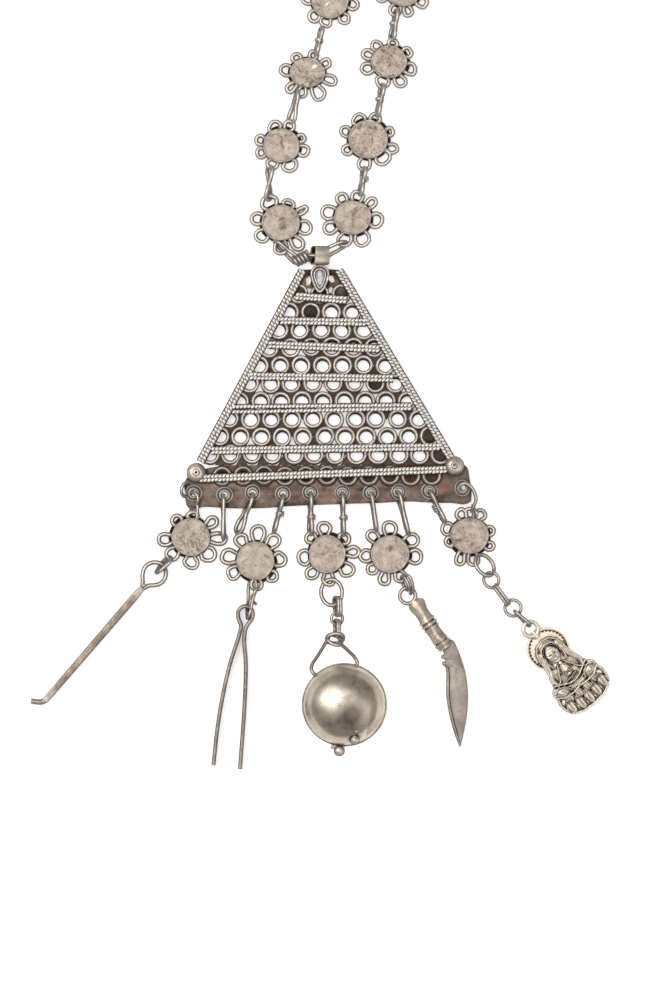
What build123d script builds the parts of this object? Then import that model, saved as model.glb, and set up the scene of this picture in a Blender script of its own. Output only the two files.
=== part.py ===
"""Talisman necklace: a pierced silver pendant on a chain of flower links, with five drops.

It lies on its back. +X is the wearer's left as seen from the front, +Y points up towards
the neck, +Z points away from the surface it lies on. Millimetres.
"""

import os
from math import acos, atan2, cos, degrees, hypot, radians, sin

from build123d import *

# wires and the way loose links meet
petalWire = 1.0
linkWire = 1.15
linkHeight = 3.9
eyeSlack = 0.2

# flower links
discRadius = 5.6
discThick = 1.0
petalReach = 9.6
petalWidth = 4.8
backDiscShare = 0.62
flowerPitch = 23.0

# pierced pendant
pendantRise = 67.6
pendantTopWidth = 11.3
pendantBaseWidth = 74.7
ropeWire = 1.15
ropePitch = 1.05
ringPitch = 6.285
ringHole = 4.4
rowPitch = 5.356
rowCount = 11
latticeThick = 1.3
bossDiameter = 5.8
bossHeight = 3.2
stripLength = 86.0
stripHeight = 8.4
stripThick = 0.8
holeDiameter = 2.6
collarWidth = 0.65
collarRise = 0.35

# bail and stone setting
bailWidth = 5.2
bailDepth = 5.5
bailHeight = 5.4
bailWall = 0.7
settingWidth = 5.8
settingLength = 8.5
settingRise = 2.0
stoneWidth = 2.4
stoneLength = 5.0
stoneRise = 0.9
stoneGap = 0.12

# drops
dropFall = 17.7
hoopWire = 1.1
scoopRingDiameter = 8.4
scoopStemLength = 44.4
scoopStemWidth = 1.65
scoopStemThick = 2.5
scoopBladeLength = 4.6
tweezerEyeWidth = 5.1
tweezerLength = 48.6
tweezerProngThick = 1.1
tweezerProngHeight = 3.6
ballDiameter = 25.0
ballThick = 17.0
knobDiameter = 3.2
knifeRingDiameter = 5.85
knifeLength = 48.0
knifeBladeThick = 1.8
knifeHandleThick = 3.2
figureLength = 27.9
figurePlate = 1.6
figureRelief = 3.4

# small rings and links of the drops
fineWire = 0.9
scoopCoilLength = 5.5
scoopAngle = -130.4
tweezerLinkLength = 8.6
ovalWidth = 8.0
ovalLength = 8.8
ovalRoll = -42.0
ovalRise = 1.0
ovalTuck = 2.45
ovalDrift = 0.62
petalLift = 8.5
barrelHeight = 5.8
barrelLength = 5.1
smallDiameter = 4.4
smallSlack = 0.1
smallLinkLength = 4.4
knotRise = 1.0
knotLength = 5.2
knifeJumpLength = 4.7
figurePetalLift = 5.4
firstRingDiameter = 6.75
firstSide = -24.7
firstReach = 2.00
firstRise = 0.59
firstRoll = -36.2
secondRingDiameter = 6.18
secondWire = 1.0
secondSide = -59.1
secondReach = 3.95
secondRise = -0.66
secondRoll = 20.1
figureBarLength = 9.4
thirdRingDiameter = 5.85
figureThinLength = 6.1
figureLoopDiameter = 5.85
figureAngle = -48.7
dropDiscs = [(0.96, 0.9), (1.0, 0.94), (0.98, 0.95), (1.0, 0.95), (1.0, 0.93)]
collaredHooks = [(1, 1), (2, 0), (2, 1), (4, 0)]

linkMiddle = linkHeight / 2
linkRadius = (linkHeight - linkWire) / 2
eyeInset = petalWire / 2 + petalWire / 2 + linkWire / 2 + eyeSlack


def point(x, y):
    """A plan point at the height of the links' middle."""
    return Vector(x, y, linkMiddle)


def towards(start, angle, distance):
    """The plan point at a distance from start in the direction of an angle in degrees."""
    return start + Vector(cos(radians(angle)), sin(radians(angle)), 0) * distance


def heading(start, end):
    """The plan direction from start to end, in degrees."""
    return degrees(atan2(end.Y - start.Y, end.X - start.X))


# Flower tables: petals as (direction in degrees, share of petalReach, share of petalWidth).
leftOne = [
    (121, 1.0, 1.1), (70, 0.81, 0.94), (31, 1.0, 0.72), (-8, 1.03, 1.06),
    (-53, 1.09, 0.94), (-95, 1.03, 1.04), (-148, 0.99, 1.06), (168, 1.0, 1.0),
]
rightOne = [
    (78, 0.94, 0.97), (34, 0.97, 0.81), (-8, 1.0, 1.15), (-62, 1.0, 1.19),
    (-108.5, 1.0, 1.04), (-154, 1.03, 1.0), (165, 1.03, 1.1), (119, 0.91, 0.91),
]
leftTwo = [
    (66, 0.91, 0.88), (25, 0.84, 0.75), (-14.5, 0.92, 0.94), (-67, 0.91, 1.13),
    (-113, 0.86, 0.94), (-160, 0.88, 0.88), (163, 0.89, 0.84), (111, 0.84, 1.04),
]
rightTwo = [
    (70, 0.92, 0.94), (20, 0.91, 0.81), (-22, 1.03, 0.81), (-54, 1.0, 1.23),
    (-96.5, 1.02, 1.0), (-149, 0.94, 0.88), (164, 0.96, 0.88), (116, 0.91, 1.06),
]
leftThree = [
    (68, 0.8, 0.8), (23, 0.84, 0.81), (-19, 1.0, 0.81), (-64, 1.0, 1.04),
    (-103, 0.87, 0.8), (-142, 0.91, 0.78), (177, 0.91, 0.94), (124, 0.78, 0.81),
]
rightThree = [
    (80, 0.84, 0.82), (31, 0.84, 0.88), (-14, 0.94, 0.94), (-62, 0.94, 0.91),
    (-108, 0.88, 1.06), (-159, 0.97, 0.97), (165, 0.94, 0.81), (124, 0.84, 0.84),
]
plainFlower = [
    (0, 0.94, 0.94), (44, 0.91, 0.88), (88, 0.94, 1.0), (135, 0.92, 0.94),
    (180, 0.94, 0.94), (226, 0.94, 0.88), (271, 0.91, 1.0), (316, 0.94, 0.94),
]
dropOne = [
    (134, 0.91, 0.94), (-174, 1.09, 1.0), (-136, 1.0, 1.12), (-95, 1.03, 1.06),
    (-47, 1.03, 1.19), (-3, 1.12, 1.0), (32, 1.03, 0.88), (86, 0.87, 1.0),
]
dropTwo = [
    (85, 1.12, 1.06), (45, 1.09, 1.0), (5, 1.0, 1.13), (-40, 0.94, 0.94),
    (-92, 0.97, 0.94), (-151, 1.03, 1.0), (167, 1.12, 1.15), (128, 1.03, 1.0),
]
dropThree = [
    (94, 1.06, 1.0), (38, 0.97, 0.94), (5, 1.0, 0.88), (-39, 1.06, 1.06),
    (-88, 1.03, 0.95), (-128, 1.0, 0.94), (-172, 0.98, 1.19), (136, 0.97, 0.94),
]
dropFour = [
    (86.5, 1.06, 1.06), (35, 1.06, 1.06), (-7, 1.06, 1.13), (-64, 1.0, 0.9),
    (-101, 1.03, 0.91), (-137, 0.94, 0.88), (-178, 0.94, 1.0), (132, 1.03, 0.94),
]
dropFive = [
    (90, 0.98, 0.88), (65, 0.94, 0.85), (14, 0.84, 0.81), (-28, 0.91, 0.81),
    (-80, 1.0, 0.95), (-113, 1.03, 0.81), (-158, 0.84, 0.81), (165, 0.97, 1.0),
    (115, 0.94, 0.94),
]

# Chain route: flower centres from the pendant upwards, then chosen points of the plain way
# round behind the neck.
leftRoute = [(-14.7, 81.7), (-14.55, 104.8), (-6.75, 126.7), (0.0, 148.0)]
rightRoute = [(6.75, 83.2), (11.4, 106.7), (17.7, 129.9), (21.9, 151.6)]
neckRoute = [
    (-8.0, 178.0), (-28.0, 220.0), (-14.0, 272.0), (34.0, 302.0),
    (84.0, 282.0), (104.0, 232.0), (72.0, 184.0), (39.0, 168.0),
]
leftDiscs = [(1.04, 0.96), (1.0, 0.94), (0.94, 0.8), (1.0, 0.92)]
rightDiscs = [(1.0, 0.93), (1.06, 1.02), (0.97, 0.88), (1.0, 0.92)]

# Drop flowers: (share of stripLength from its middle, share of dropFall, petals, hook petals)
dropPlaces = [
    (-0.478, 0.715, dropOne, 86, -3),
    (-0.253, 1.113, dropTwo, 128, 45),
    (-0.0035, 1.0, dropThree, 136, 38),
    (0.2163, 1.0, dropFour, 132, 35),
    (0.494, 0.684, dropFive, 165, 90),
]
# Strip holes: (share of stripLength from its middle, share of stripHeight above the middle line)
stripHoles = [
    (-0.469, 0.07), (-0.362, 0.0), (-0.263, 0.07), (-0.156, 0.07), (-0.061, 0.08),
    (0.05, 0.07), (0.15, 0.08), (0.248, 0.11), (0.355, 0.15), (0.463, 0.24),
]


def flower(centre, petals, disc=(1.0, 0.95), turn=0.0, lifted=None, lift=0.0):
    """One flower link: wire petals under a flat disc, soldered into one piece."""
    across = discRadius * disc[0]
    along = discRadius * disc[1]
    least = min(across, along)
    root = least * 0.72
    rootHalf = petalWire * 1.1
    with BuildPart() as link:
        with BuildSketch(Plane(centre + Vector(0, 0, petalWire * 0.35))):
            Ellipse(across, along)
        extrude(amount=discThick)
        front = link.faces().sort_by(Axis.Z)[-1]
        fillet(front.edges(), discThick * 0.2)
        for order, (direction, reachShare, widthShare) in enumerate(petals):
            tilt = lift if direction == lifted else 0.0
            ray = Vector(cos(radians(direction + turn)), sin(radians(direction + turn)), 0)
            arc = petalWidth * widthShare / 2 - petalWire / 2
            middle = petalReach * reachShare - petalWire / 2 - arc - root
            rise = Vector(ray.X * cos(radians(tilt)), ray.Y * cos(radians(tilt)), sin(radians(tilt)))
            side = Vector(-ray.Y, ray.X, 0)
            step = Vector(0, 0, (order % 3 - 1) * petalWire * 0.05)
            bend = Plane(origin=centre + ray * root + step, x_dir=rise, z_dir=rise.cross(side))
            swing = atan2(rootHalf, -middle) - acos(arc / hypot(middle, rootHalf))
            touch = (middle + arc * cos(swing), arc * sin(swing))
            with BuildLine(bend) as path:
                Line((0, -rootHalf), (touch[0], -touch[1]))
                ThreePointArc((touch[0], -touch[1]), (middle + arc, 0), touch)
                Line(touch, (0, rootHalf))
            run = path.wires()[0]
            with BuildSketch(Plane(origin=run @ 0, z_dir=run % 0)):
                Circle(petalWire / 2)
            sweep(path=run)
        with BuildSketch(Plane(centre - Vector(0, 0, centre.Z))):
            Circle(least * backDiscShare)
        extrude(amount=linkMiddle + petalWire / 2)
        with BuildSketch(Plane(centre - Vector(0, 0, petalWire * 0.1))):
            Circle(root + petalWire * 0.3)
        extrude(amount=petalWire * 0.65)
    return link


def eye(centre, petals, direction, turn=0.0):
    """The place inside a petal where a link's end stands."""
    share = min(petals, key=lambda petal: abs(petal[0] - direction))
    return towards(centre, share[0] + turn, petalReach * share[1] - eyeInset)


def loopShape(start, end, collar=False, height=linkHeight, wire=linkWire, turns=1):
    """A long wire loop standing on edge between two points of its middle line."""
    foot = start
    head = end
    span = (head - foot).length
    radius = (height - wire) / 2
    axis = (head - foot).normalized()
    across = Vector(axis.Y, -axis.X, 0).normalized()
    stand = Plane(origin=foot, x_dir=axis, z_dir=across)
    with BuildPart() as loop:
        with BuildLine(stand) as path:
            Line((radius, radius), (span - radius, radius))
            ThreePointArc((span - radius, radius), (span, 0), (span - radius, -radius))
            Line((span - radius, -radius), (radius, -radius))
            ThreePointArc((radius, -radius), (0, 0), (radius, radius))
        run = path.wires()[0]
        with BuildSketch(Plane(origin=run @ 0, x_dir=across, z_dir=run % 0)):
            for index in range(turns):
                with Locations(((index - (turns - 1) / 2) * wire * 0.9, 0)):
                    Circle(wire / 2)
        sweep(path=run)
        if collar:
            with BuildSketch(Plane(origin=foot + axis * (span / 2 - wire * 0.65), x_dir=across, z_dir=axis)):
                Ellipse(wire * 0.98, height * 0.46)
            extrude(amount=wire * 1.3)
    return loop


def hoop(centre, width, length, direction=90.0, roll=0.0, pitch=0.0, wire=hoopWire):
    """A wire ring or oval: outer width and length, its length along direction, rolled about it."""
    ray = Vector(cos(radians(direction)), sin(radians(direction)), 0)
    side = Vector(ray.Y, -ray.X, 0)
    axis = Vector(ray.X * cos(radians(pitch)), ray.Y * cos(radians(pitch)), sin(radians(pitch)))
    rolled = side * cos(radians(roll)) + side.cross(axis) * sin(radians(roll))
    lie = Plane(origin=centre, x_dir=axis, z_dir=axis.cross(rolled) * -1)
    with BuildPart() as ring:
        with BuildLine(lie) as path:
            EllipticalCenterArc((0, 0), (length - wire) / 2, (width - wire) / 2, start_angle=0, arc_size=180)
            EllipticalCenterArc((0, 0), (length - wire) / 2, (width - wire) / 2, start_angle=180, arc_size=180)
        run = path.wires()[0]
        with BuildSketch(Plane(origin=run @ 0, z_dir=run % 0)):
            Circle(wire / 2)
        sweep(path=run)
    return ring


def rod(start, end, wire):
    """A straight round wire between two points."""
    with BuildPart() as bar:
        with BuildSketch(Plane(origin=start, z_dir=end - start)):
            Circle(wire / 2)
        extrude(amount=(end - start).length)
    return bar.part


def outline(points):
    """A closed straight-sided face through plan points."""
    with BuildSketch() as shape:
        with BuildLine():
            Polyline(*points, close=True)
        make_face()
    return shape.sketch


latticeFoot = linkHeight - linkWire - latticeThick - 0.15 * petalWire
latticeTop = latticeFoot + latticeThick
stripFoot = latticeFoot + 0.1 * stripThick
leftTop = Vector(-0.0307 * stripLength - pendantTopWidth / 2, pendantRise, 0)
rightTop = Vector(-0.0307 * stripLength + pendantTopWidth / 2, pendantRise, 0)
leftBase = Vector(-0.0087 * stripLength - pendantBaseWidth / 2, pendantRise * 0.142, 0)
rightBase = Vector(-0.0087 * stripLength + pendantBaseWidth / 2, pendantRise * 0.155, 0)
leftBoss = Vector(-0.466 * stripLength, pendantRise * 0.1, 0)
rightBoss = Vector(0.435 * stripLength, pendantRise * 0.13, 0)

# Bars: height at the left and at the right as shares of pendantRise
bars = [
    (0.883, 0.862), (0.771, 0.765), (0.662, 0.651), (0.526, 0.522),
    (0.384, 0.39), (0.201, 0.22),
]


def onSide(top, base, height):
    """The point of a side rope at a height."""
    share = (height - base.Y) / (top.Y - base.Y)
    return base + (top - base) * share


def stripPoint(hole):
    """The plan point of a strip hole."""
    return point(hole[0] * stripLength - 0.007 * stripLength, hole[1] * stripHeight)


bailMiddle = Vector(-0.034 * stripLength, pendantRise * 1.062, 0)
settingMiddle = Vector(-0.0353 * stripLength, pendantRise * 0.958, 0)


def pearOutline(width, length):
    """A pear: round above, pointed below."""
    radius = width / 2
    tip = -length + radius
    lean = acos(radius / -tip)
    touch = (radius * sin(lean), radius * cos(lean))
    with BuildSketch() as pear:
        with BuildLine():
            ThreePointArc((-touch[0], touch[1]), (0, radius), touch)
            Line(touch, (0, tip))
            Line((0, tip), (-touch[0], touch[1]))
        make_face()
    return pear.sketch


def pendantPiece():
    """The pierced panel with its beaded wires, strip, bosses, setting and bail."""
    with BuildPart() as pendant:
        panelTop = pendantRise * 0.93
        panelBase = stripHeight * 0.6
        with BuildSketch(Plane.XY.offset(latticeFoot)):
            with BuildLine():
                upperLeft = onSide(leftTop, leftBase, panelTop)
                upperRight = onSide(rightTop, rightBase, panelTop)
                Polyline(
                    (upperLeft.X, upperLeft.Y), (upperRight.X, upperRight.Y),
                    (rightBase.X, rightBase.Y), (rightBoss.X, panelBase),
                    (leftBoss.X, panelBase), (leftBase.X, leftBase.Y),
                    close=True,
                )
            make_face()
            centres = []
            for row in range(rowCount - 1):
                across = 3 + row
                drift = (0.0255 * row - 0.447) * ringPitch
                height = pendantRise * 0.8926 - rowPitch * row
                for index in range(across):
                    offset = (index - (across - 1) / 2) * ringPitch
                    closed = row >= rowCount - 3 and index == across - 1
                    if not closed:
                        centres.append((drift + offset, height))
            with Locations(*centres):
                Circle(ringHole / 2, mode=Mode.SUBTRACT)
        extrude(amount=latticeThick)
        wireHeight = latticeTop + ropeWire * 0.4
        wires = []
        for top, base in ((leftTop, leftBase), (rightTop, rightBase)):
            ray = (top - base).normalized()
            side = Vector(ray.Y, -ray.X, 0)
            for share in (-0.5, 0.5):
                shift = side * (share * ropePitch) + Vector(0, 0, wireHeight)
                wires.append(rod(base + shift, top + shift, ropeWire))
            with BuildSketch(Plane.XY.offset(latticeFoot)):
                with BuildLine():
                    Polyline(
                        *[(spot.X, spot.Y) for spot in (
                            top + side * ropePitch, top - side * ropePitch,
                            base - side * ropePitch, base + side * ropePitch,
                        )],
                        close=True,
                    )
                make_face()
            extrude(amount=latticeThick)
        for leftShare, rightShare in bars:
            first = onSide(leftTop, leftBase, leftShare * pendantRise)
            last = onSide(rightTop, rightBase, rightShare * pendantRise)
            for share in (-0.5, 0.5):
                shift = Vector(0, share * ropePitch, wireHeight)
                wires.append(rod(first + shift, last + shift, ropeWire))
        for share in (-0.5, 0.5):
            shift = Vector(0, share * ropePitch - bossDiameter * 0.25, wireHeight)
            wires.append(rod(leftBoss + shift, rightBoss + shift, ropeWire))
        add(wires)
        for boss in (leftBoss, rightBoss):
            with BuildSketch(Plane.XY.offset(latticeFoot)):
                with Locations((boss.X, boss.Y)):
                    Circle(bossDiameter / 2)
            extrude(amount=latticeThick + bossHeight * 0.45)
            with BuildSketch(Plane.XY.offset(latticeTop)):
                with Locations((boss.X, boss.Y)):
                    Circle(bossDiameter * 0.36)
            extrude(amount=bossHeight * 0.7)
            with BuildSketch(Plane.XY.offset(latticeTop)):
                with Locations((boss.X, boss.Y)):
                    Circle(bossDiameter * 0.2)
            extrude(amount=bossHeight)
        leftEnd = -0.507 * stripLength
        rightEnd = 0.493 * stripLength
        with BuildSketch(Plane.XY.offset(stripFoot)):
            with BuildLine():
                Polyline(
                    (leftEnd, stripHeight * 0.61), (leftEnd + stripHeight * 0.14, -stripHeight * 0.46),
                    (rightEnd - stripHeight * 0.05, -stripHeight * 0.25),
                    (rightEnd - stripHeight * 0.11, stripHeight * 1.03),
                    (rightBoss.X, rightBoss.Y), (leftBoss.X, leftBoss.Y),
                    close=True,
                )
            make_face()
        extrude(amount=stripThick)
        with BuildSketch(Plane.XY.offset(stripFoot)):
            for hole in stripHoles:
                spot = stripPoint(hole)
                with Locations((spot.X, spot.Y)):
                    Circle(holeDiameter / 2 + collarWidth)
        extrude(amount=stripThick + collarRise)
        with BuildSketch(Plane.XY.offset(stripFoot)):
            for hole in stripHoles:
                spot = stripPoint(hole)
                with Locations((spot.X, spot.Y)):
                    Circle(holeDiameter / 2)
        extrude(amount=latticeThick * 2, mode=Mode.SUBTRACT)
        barHeight = pendantRise * 0.985
        barStart = onSide(leftTop, leftBase, barHeight)
        barEnd = onSide(rightTop, rightBase, barHeight)
        rise = Vector(0, 0, latticeFoot + latticeThick * 0.5)
        add(rod(barStart + rise, barEnd + rise, latticeThick * 0.9))
        with BuildSketch(Plane.XY.offset(latticeFoot)):
            with Locations((settingMiddle.X, settingMiddle.Y + settingLength / 2 - settingWidth / 2)):
                add(pearOutline(settingWidth, settingLength))
        extrude(amount=latticeThick + settingRise * 0.6)
        with BuildSketch(Plane.XY.offset(latticeTop)):
            with Locations((settingMiddle.X, settingMiddle.Y + settingLength / 2 - settingWidth / 2)):
                add(pearOutline(settingWidth * 0.8, settingLength * 0.8))
        extrude(amount=settingRise)
        with BuildSketch(Plane.XY.offset(latticeTop + settingRise - stoneRise)):
            with Locations((settingMiddle.X, settingMiddle.Y + settingLength / 2 - settingWidth / 2)):
                add(pearOutline(stoneWidth + 2 * stoneGap, stoneLength + 2 * stoneGap))
        extrude(amount=stoneRise * 2, mode=Mode.SUBTRACT)
        bailPlane = Plane(
            origin=(bailMiddle.X - bailWidth / 2, bailMiddle.Y, bailHeight / 2),
            x_dir=(0, 1, 0), z_dir=(1, 0, 0),
        )
        with BuildSketch(bailPlane):
            RectangleRounded(bailDepth, bailHeight, bailHeight * 0.4)
        extrude(amount=bailWidth)
        with BuildSketch(bailPlane):
            RectangleRounded(bailDepth - 2 * bailWall, bailHeight - 2 * bailWall, bailHeight * 0.27)
        extrude(amount=bailWidth, mode=Mode.SUBTRACT)
        with BuildSketch(Plane.XY.offset(latticeFoot)):
            with Locations((bailMiddle.X, bailMiddle.Y - bailDepth / 2)):
                Rectangle(bailWidth * 0.6, bailWall * 2)
        extrude(amount=latticeThick)
    return pendant


def stonePiece():
    """The pear stone: a table, a crown of facets and a flat back."""
    crown = stoneRise * 1.3
    place = Plane(
        (settingMiddle.X, settingMiddle.Y + settingLength / 2 - settingWidth / 2,
         latticeTop + settingRise - stoneRise + stoneGap)
    )
    with BuildPart() as stone:
        with BuildSketch(place):
            with BuildLine():
                Polyline(
                    *[(stoneWidth / 2 * across, (stoneWidth / 2 if up > 0 else stoneLength) * up)
                      for across, up in stoneOutline],
                    close=True,
                )
            make_face()
        extrude(amount=stoneRise * 0.4)
        upper = stone.faces().sort_by(Axis.Z)[-1]
        extrude(upper, amount=crown - stoneRise * 0.4, taper=38)
    return stone


# Stone outline: (across, up), above the middle as shares of half the width, below it of the length
stoneOutline = [
    (0.0, 1.0), (-0.6, 0.78), (-0.93, 0.3), (-0.62, -0.2), (-0.31, -0.48),
    (0.0, -0.74), (0.31, -0.48), (0.62, -0.2), (0.93, 0.3), (0.6, 0.78),
]


def bailLinkPiece():
    """The long wire link through the bail: a loop at each end and turns wound about its middle."""
    leftEye = eye(point(*leftRoute[0]), leftOne, -95)
    rightEye = eye(point(*rightRoute[0]), rightOne, -108.5)
    middle = Vector(bailMiddle.X, bailMiddle.Y, bailHeight / 2)
    spread = linkWire * 0.565
    wound = middle + Vector(-bailWidth * 1.55, -bailDepth * 0.3, -bailHeight * 0.11)
    unwound = middle + Vector(-bailWidth * 0.6, -bailDepth * 0.06, -bailHeight * 0.06)
    with BuildPart() as link:
        for level in (-1, 1):
            leftRay = Vector(wound.X - leftEye.X, wound.Y - leftEye.Y, 0).normalized()
            rightRay = Vector(middle.X - rightEye.X, middle.Y - rightEye.Y, 0).normalized()
            first = leftEye + leftRay * linkRadius + Vector(0, 0, level * linkRadius)
            last = rightEye + rightRay * linkRadius + Vector(0, 0, level * linkRadius)
            near = wound + Vector(0, 0, level * spread)
            inner = unwound + Vector(0, 0, level * spread)
            far = middle + Vector(bailWidth * 0.6, bailDepth * 0.05, level * spread)
            with BuildLine() as route:
                FilletPolyline(first, near, inner, far, last, radius=linkWire)
            run = route.wires()[0]
            with BuildSketch(Plane(origin=run @ 0, z_dir=run % 0)):
                Circle(linkWire / 2)
            sweep(path=run)
        for tip, goal in ((leftEye, wound), (rightEye, middle)):
            ray = (Vector(tip.X, tip.Y, 0) - Vector(goal.X, goal.Y, 0)).normalized()
            spot = tip - ray * linkRadius
            bend = Plane(origin=Vector(spot.X, spot.Y, linkMiddle), x_dir=ray, z_dir=Vector(ray.Y, -ray.X, 0))
            with BuildLine(bend) as end:
                ThreePointArc((0, linkRadius), (linkRadius, 0), (0, -linkRadius))
            run = end.wires()[0]
            with BuildSketch(Plane(origin=run @ 0, z_dir=run % 0)):
                Circle(linkWire / 2)
            sweep(path=run)
        with BuildSketch(Plane(origin=wound, z_dir=unwound - wound)):
            Circle(linkHeight * 0.5)
        extrude(amount=(unwound - wound).length * 0.88)
    return link


def scoopPiece():
    """The ear scoop: a flat ring, a square stem and a bent blade."""
    ray = Vector(cos(radians(scoopAngle)), sin(radians(scoopAngle)), 0)
    side = Vector(-ray.Y, ray.X, 0)
    ringRadius = (scoopRingDiameter - hoopWire) / 2
    with BuildPart() as scoop:
        with Locations(scoopRing):
            Torus(ringRadius, hoopWire / 2)
        stemStart = scoopRing + ray * ringRadius
        stem = Plane(origin=(stemStart.X, stemStart.Y, 0), x_dir=ray, z_dir=(0, 0, 1))
        with BuildSketch(stem):
            with Locations((scoopStemLength / 2, 0)):
                Rectangle(scoopStemLength, scoopStemWidth)
        extrude(amount=scoopStemThick)
        stemEnd = stemStart + ray * (scoopStemLength - scoopStemWidth / 2)
        blade = Plane(origin=(stemEnd.X, stemEnd.Y, 0), x_dir=(-1, 0.05, 0), z_dir=(0, 0, 1))
        with BuildSketch(blade):
            with Locations((scoopBladeLength / 2, 0)):
                Rectangle(scoopBladeLength, scoopStemWidth)
            with Locations((scoopBladeLength, 0)):
                Circle(scoopStemWidth * 0.65)
        extrude(amount=scoopStemThick)
    return scoop


# Tweezer prongs: points from the eye downwards as (across, along) shares of tweezerLength
leftProng = [(-0.01, -0.043), (-0.045, -0.107), (-0.107, -0.331), (-0.144, -0.465), (-0.204, -0.91)]
rightProng = [(-0.02, -0.043), (-0.016, -0.097), (-0.006, -0.331), (-0.01, -0.496), (-0.041, -0.934)]


def tweezersPiece():
    """Tweezers of one strip standing on edge, its prongs crossing under a round eye."""
    with BuildPart() as tweezers:
        with Locations(tweezerEye):
            Torus((tweezerEyeWidth - hoopWire) / 2, hoopWire / 2)
        with BuildSketch(Plane.XY):
            for prong in (leftProng, rightProng):
                with BuildLine() as path:
                    Polyline(*[
                        (tweezerEye.X + across * tweezerLength, tweezerEye.Y + along * tweezerLength)
                        for across, along in prong
                    ])
                trace(line_width=tweezerProngThick)
        extrude(amount=tweezerProngHeight)
        with BuildSketch(Plane.XY):
            with Locations((tweezerEye.X - 0.02 * tweezerLength, tweezerEye.Y - 0.062 * tweezerLength)):
                Circle(tweezerProngThick)
        extrude(amount=tweezerProngHeight)
    return tweezers


def ballPiece():
    """The hollow ball lying on its side: two domes, a rim seam, two knobs and a wire bail."""
    level = ballThick / 2
    rim = ballDiameter / 2
    dome = (rim * rim + level * level) / (2 * level)
    sunk = dome - level
    half = (radians(90) + atan2(sunk, rim)) / 2
    with BuildPart() as ball:
        with BuildSketch(Plane(origin=(ballMiddle.X, ballMiddle.Y, level), x_dir=(1, 0, 0), z_dir=(0, -1, 0))):
            with BuildLine():
                ThreePointArc((0, level), (dome * cos(half), dome * sin(half) - sunk), (rim, 0))
                ThreePointArc((rim, 0), (dome * cos(half), sunk - dome * sin(half)), (0, -level))
                Line((0, -level), (0, level))
            make_face()
        revolve(axis=Axis((ballMiddle.X, ballMiddle.Y, 0), (0, 0, 1)))
        with Locations((ballMiddle.X, ballMiddle.Y, level)):
            Torus(rim - hoopWire * 0.2, hoopWire * 0.45)
        for angle, size in ((-73, 1.0), (-96, 1.15)):
            spot = ballMiddle + Vector(cos(radians(angle)), sin(radians(angle)), 0) * (ballDiameter * 0.52)
            with Locations((spot.X, spot.Y, level)):
                Sphere(knobDiameter * size / 2)
        top = Vector(knotRing.X, knotRing.Y - knotLength * 0.36, knotRing.Z)
        for angle in (132, 76):
            foot = ballMiddle + Vector(cos(radians(angle)), sin(radians(angle)), 0) * (ballDiameter * 0.47)
            add(rod(top, Vector(foot.X, foot.Y, level), hoopWire))
        with Locations(Plane(knotRing)):
            Torus((knotLength - hoopWire) / 2, hoopWire / 2)
    return ball


# Knife outlines from the ring's middle as (across, along) shares of knifeLength
handleOutline = [
    (0.009, -0.088), (0.105, -0.025), (0.151, -0.117), (0.274, -0.271), (0.189, -0.327), (0.084, -0.167),
]
bladeOutline = [
    (0.26, -0.27), (0.289, -0.288), (0.336, -0.4), (0.374, -0.542), (0.374, -0.719),
    (0.353, -0.8375), (0.328, -0.942), (0.282, -0.846), (0.245, -0.719), (0.2385, -0.6375),
    (0.241, -0.494), (0.232, -0.44), (0.21, -0.381), (0.2, -0.31),
]


def sized(centre, shares, size):
    """A closed outline of shares of a size about a plan centre."""
    return outline([(centre.X + across * size, centre.Y + along * size) for across, along in shares])


def knifePiece():
    """The small curved knife: ring, flared handle with two raised bands, notched blade."""
    with BuildPart() as knife:
        with Locations(knifeRing):
            Torus((knifeRingDiameter - hoopWire) / 2, hoopWire / 2)
        with BuildSketch(Plane.XY):
            add(sized(knifeRing, handleOutline, knifeLength))
        extrude(amount=knifeHandleThick)
        upper = knife.faces().filter_by(Axis.Z).sort_by(Axis.Z)[-1]
        fillet(upper.edges(), knifeHandleThick * 0.2)
        neck = Vector(0.057, -0.056, 0) * knifeLength
        add(rod(knifeRing + neck.normalized() * (knifeRingDiameter - hoopWire) / 2, knifeRing + neck * 1.2, hoopWire * 1.6))
        ray = Vector(0.584, -0.815, 0)
        for share in (0.14, 0.19):
            spot = knifeRing + Vector(0.057, -0.056, 0) * knifeLength + ray * (share * knifeLength)
            band = Plane(origin=(spot.X, spot.Y, knifeHandleThick * 0.5), x_dir=(ray.Y, -ray.X, 0), z_dir=ray)
            with BuildSketch(band):
                RectangleRounded(knifeLength * 0.1, knifeHandleThick, knifeHandleThick * 0.3)
            extrude(amount=knifeLength * 0.022)
        with BuildSketch(Plane.XY):
            add(sized(knifeRing, bladeOutline, knifeLength))
        extrude(amount=knifeBladeThick)
    return knife


# Seated figure on its axis: (half width, height below the loop) as shares of figureLength
bodyOutline = [(0.13, -0.42), (0.19, -0.52), (0.17, -0.62), (0.26, -0.68), (0.275, -0.76), (0.2, -0.82)]
baseOutline = [(0.2, -0.8), (0.275, -0.83), (0.295, -0.9), (0.25, -0.99)]


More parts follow.
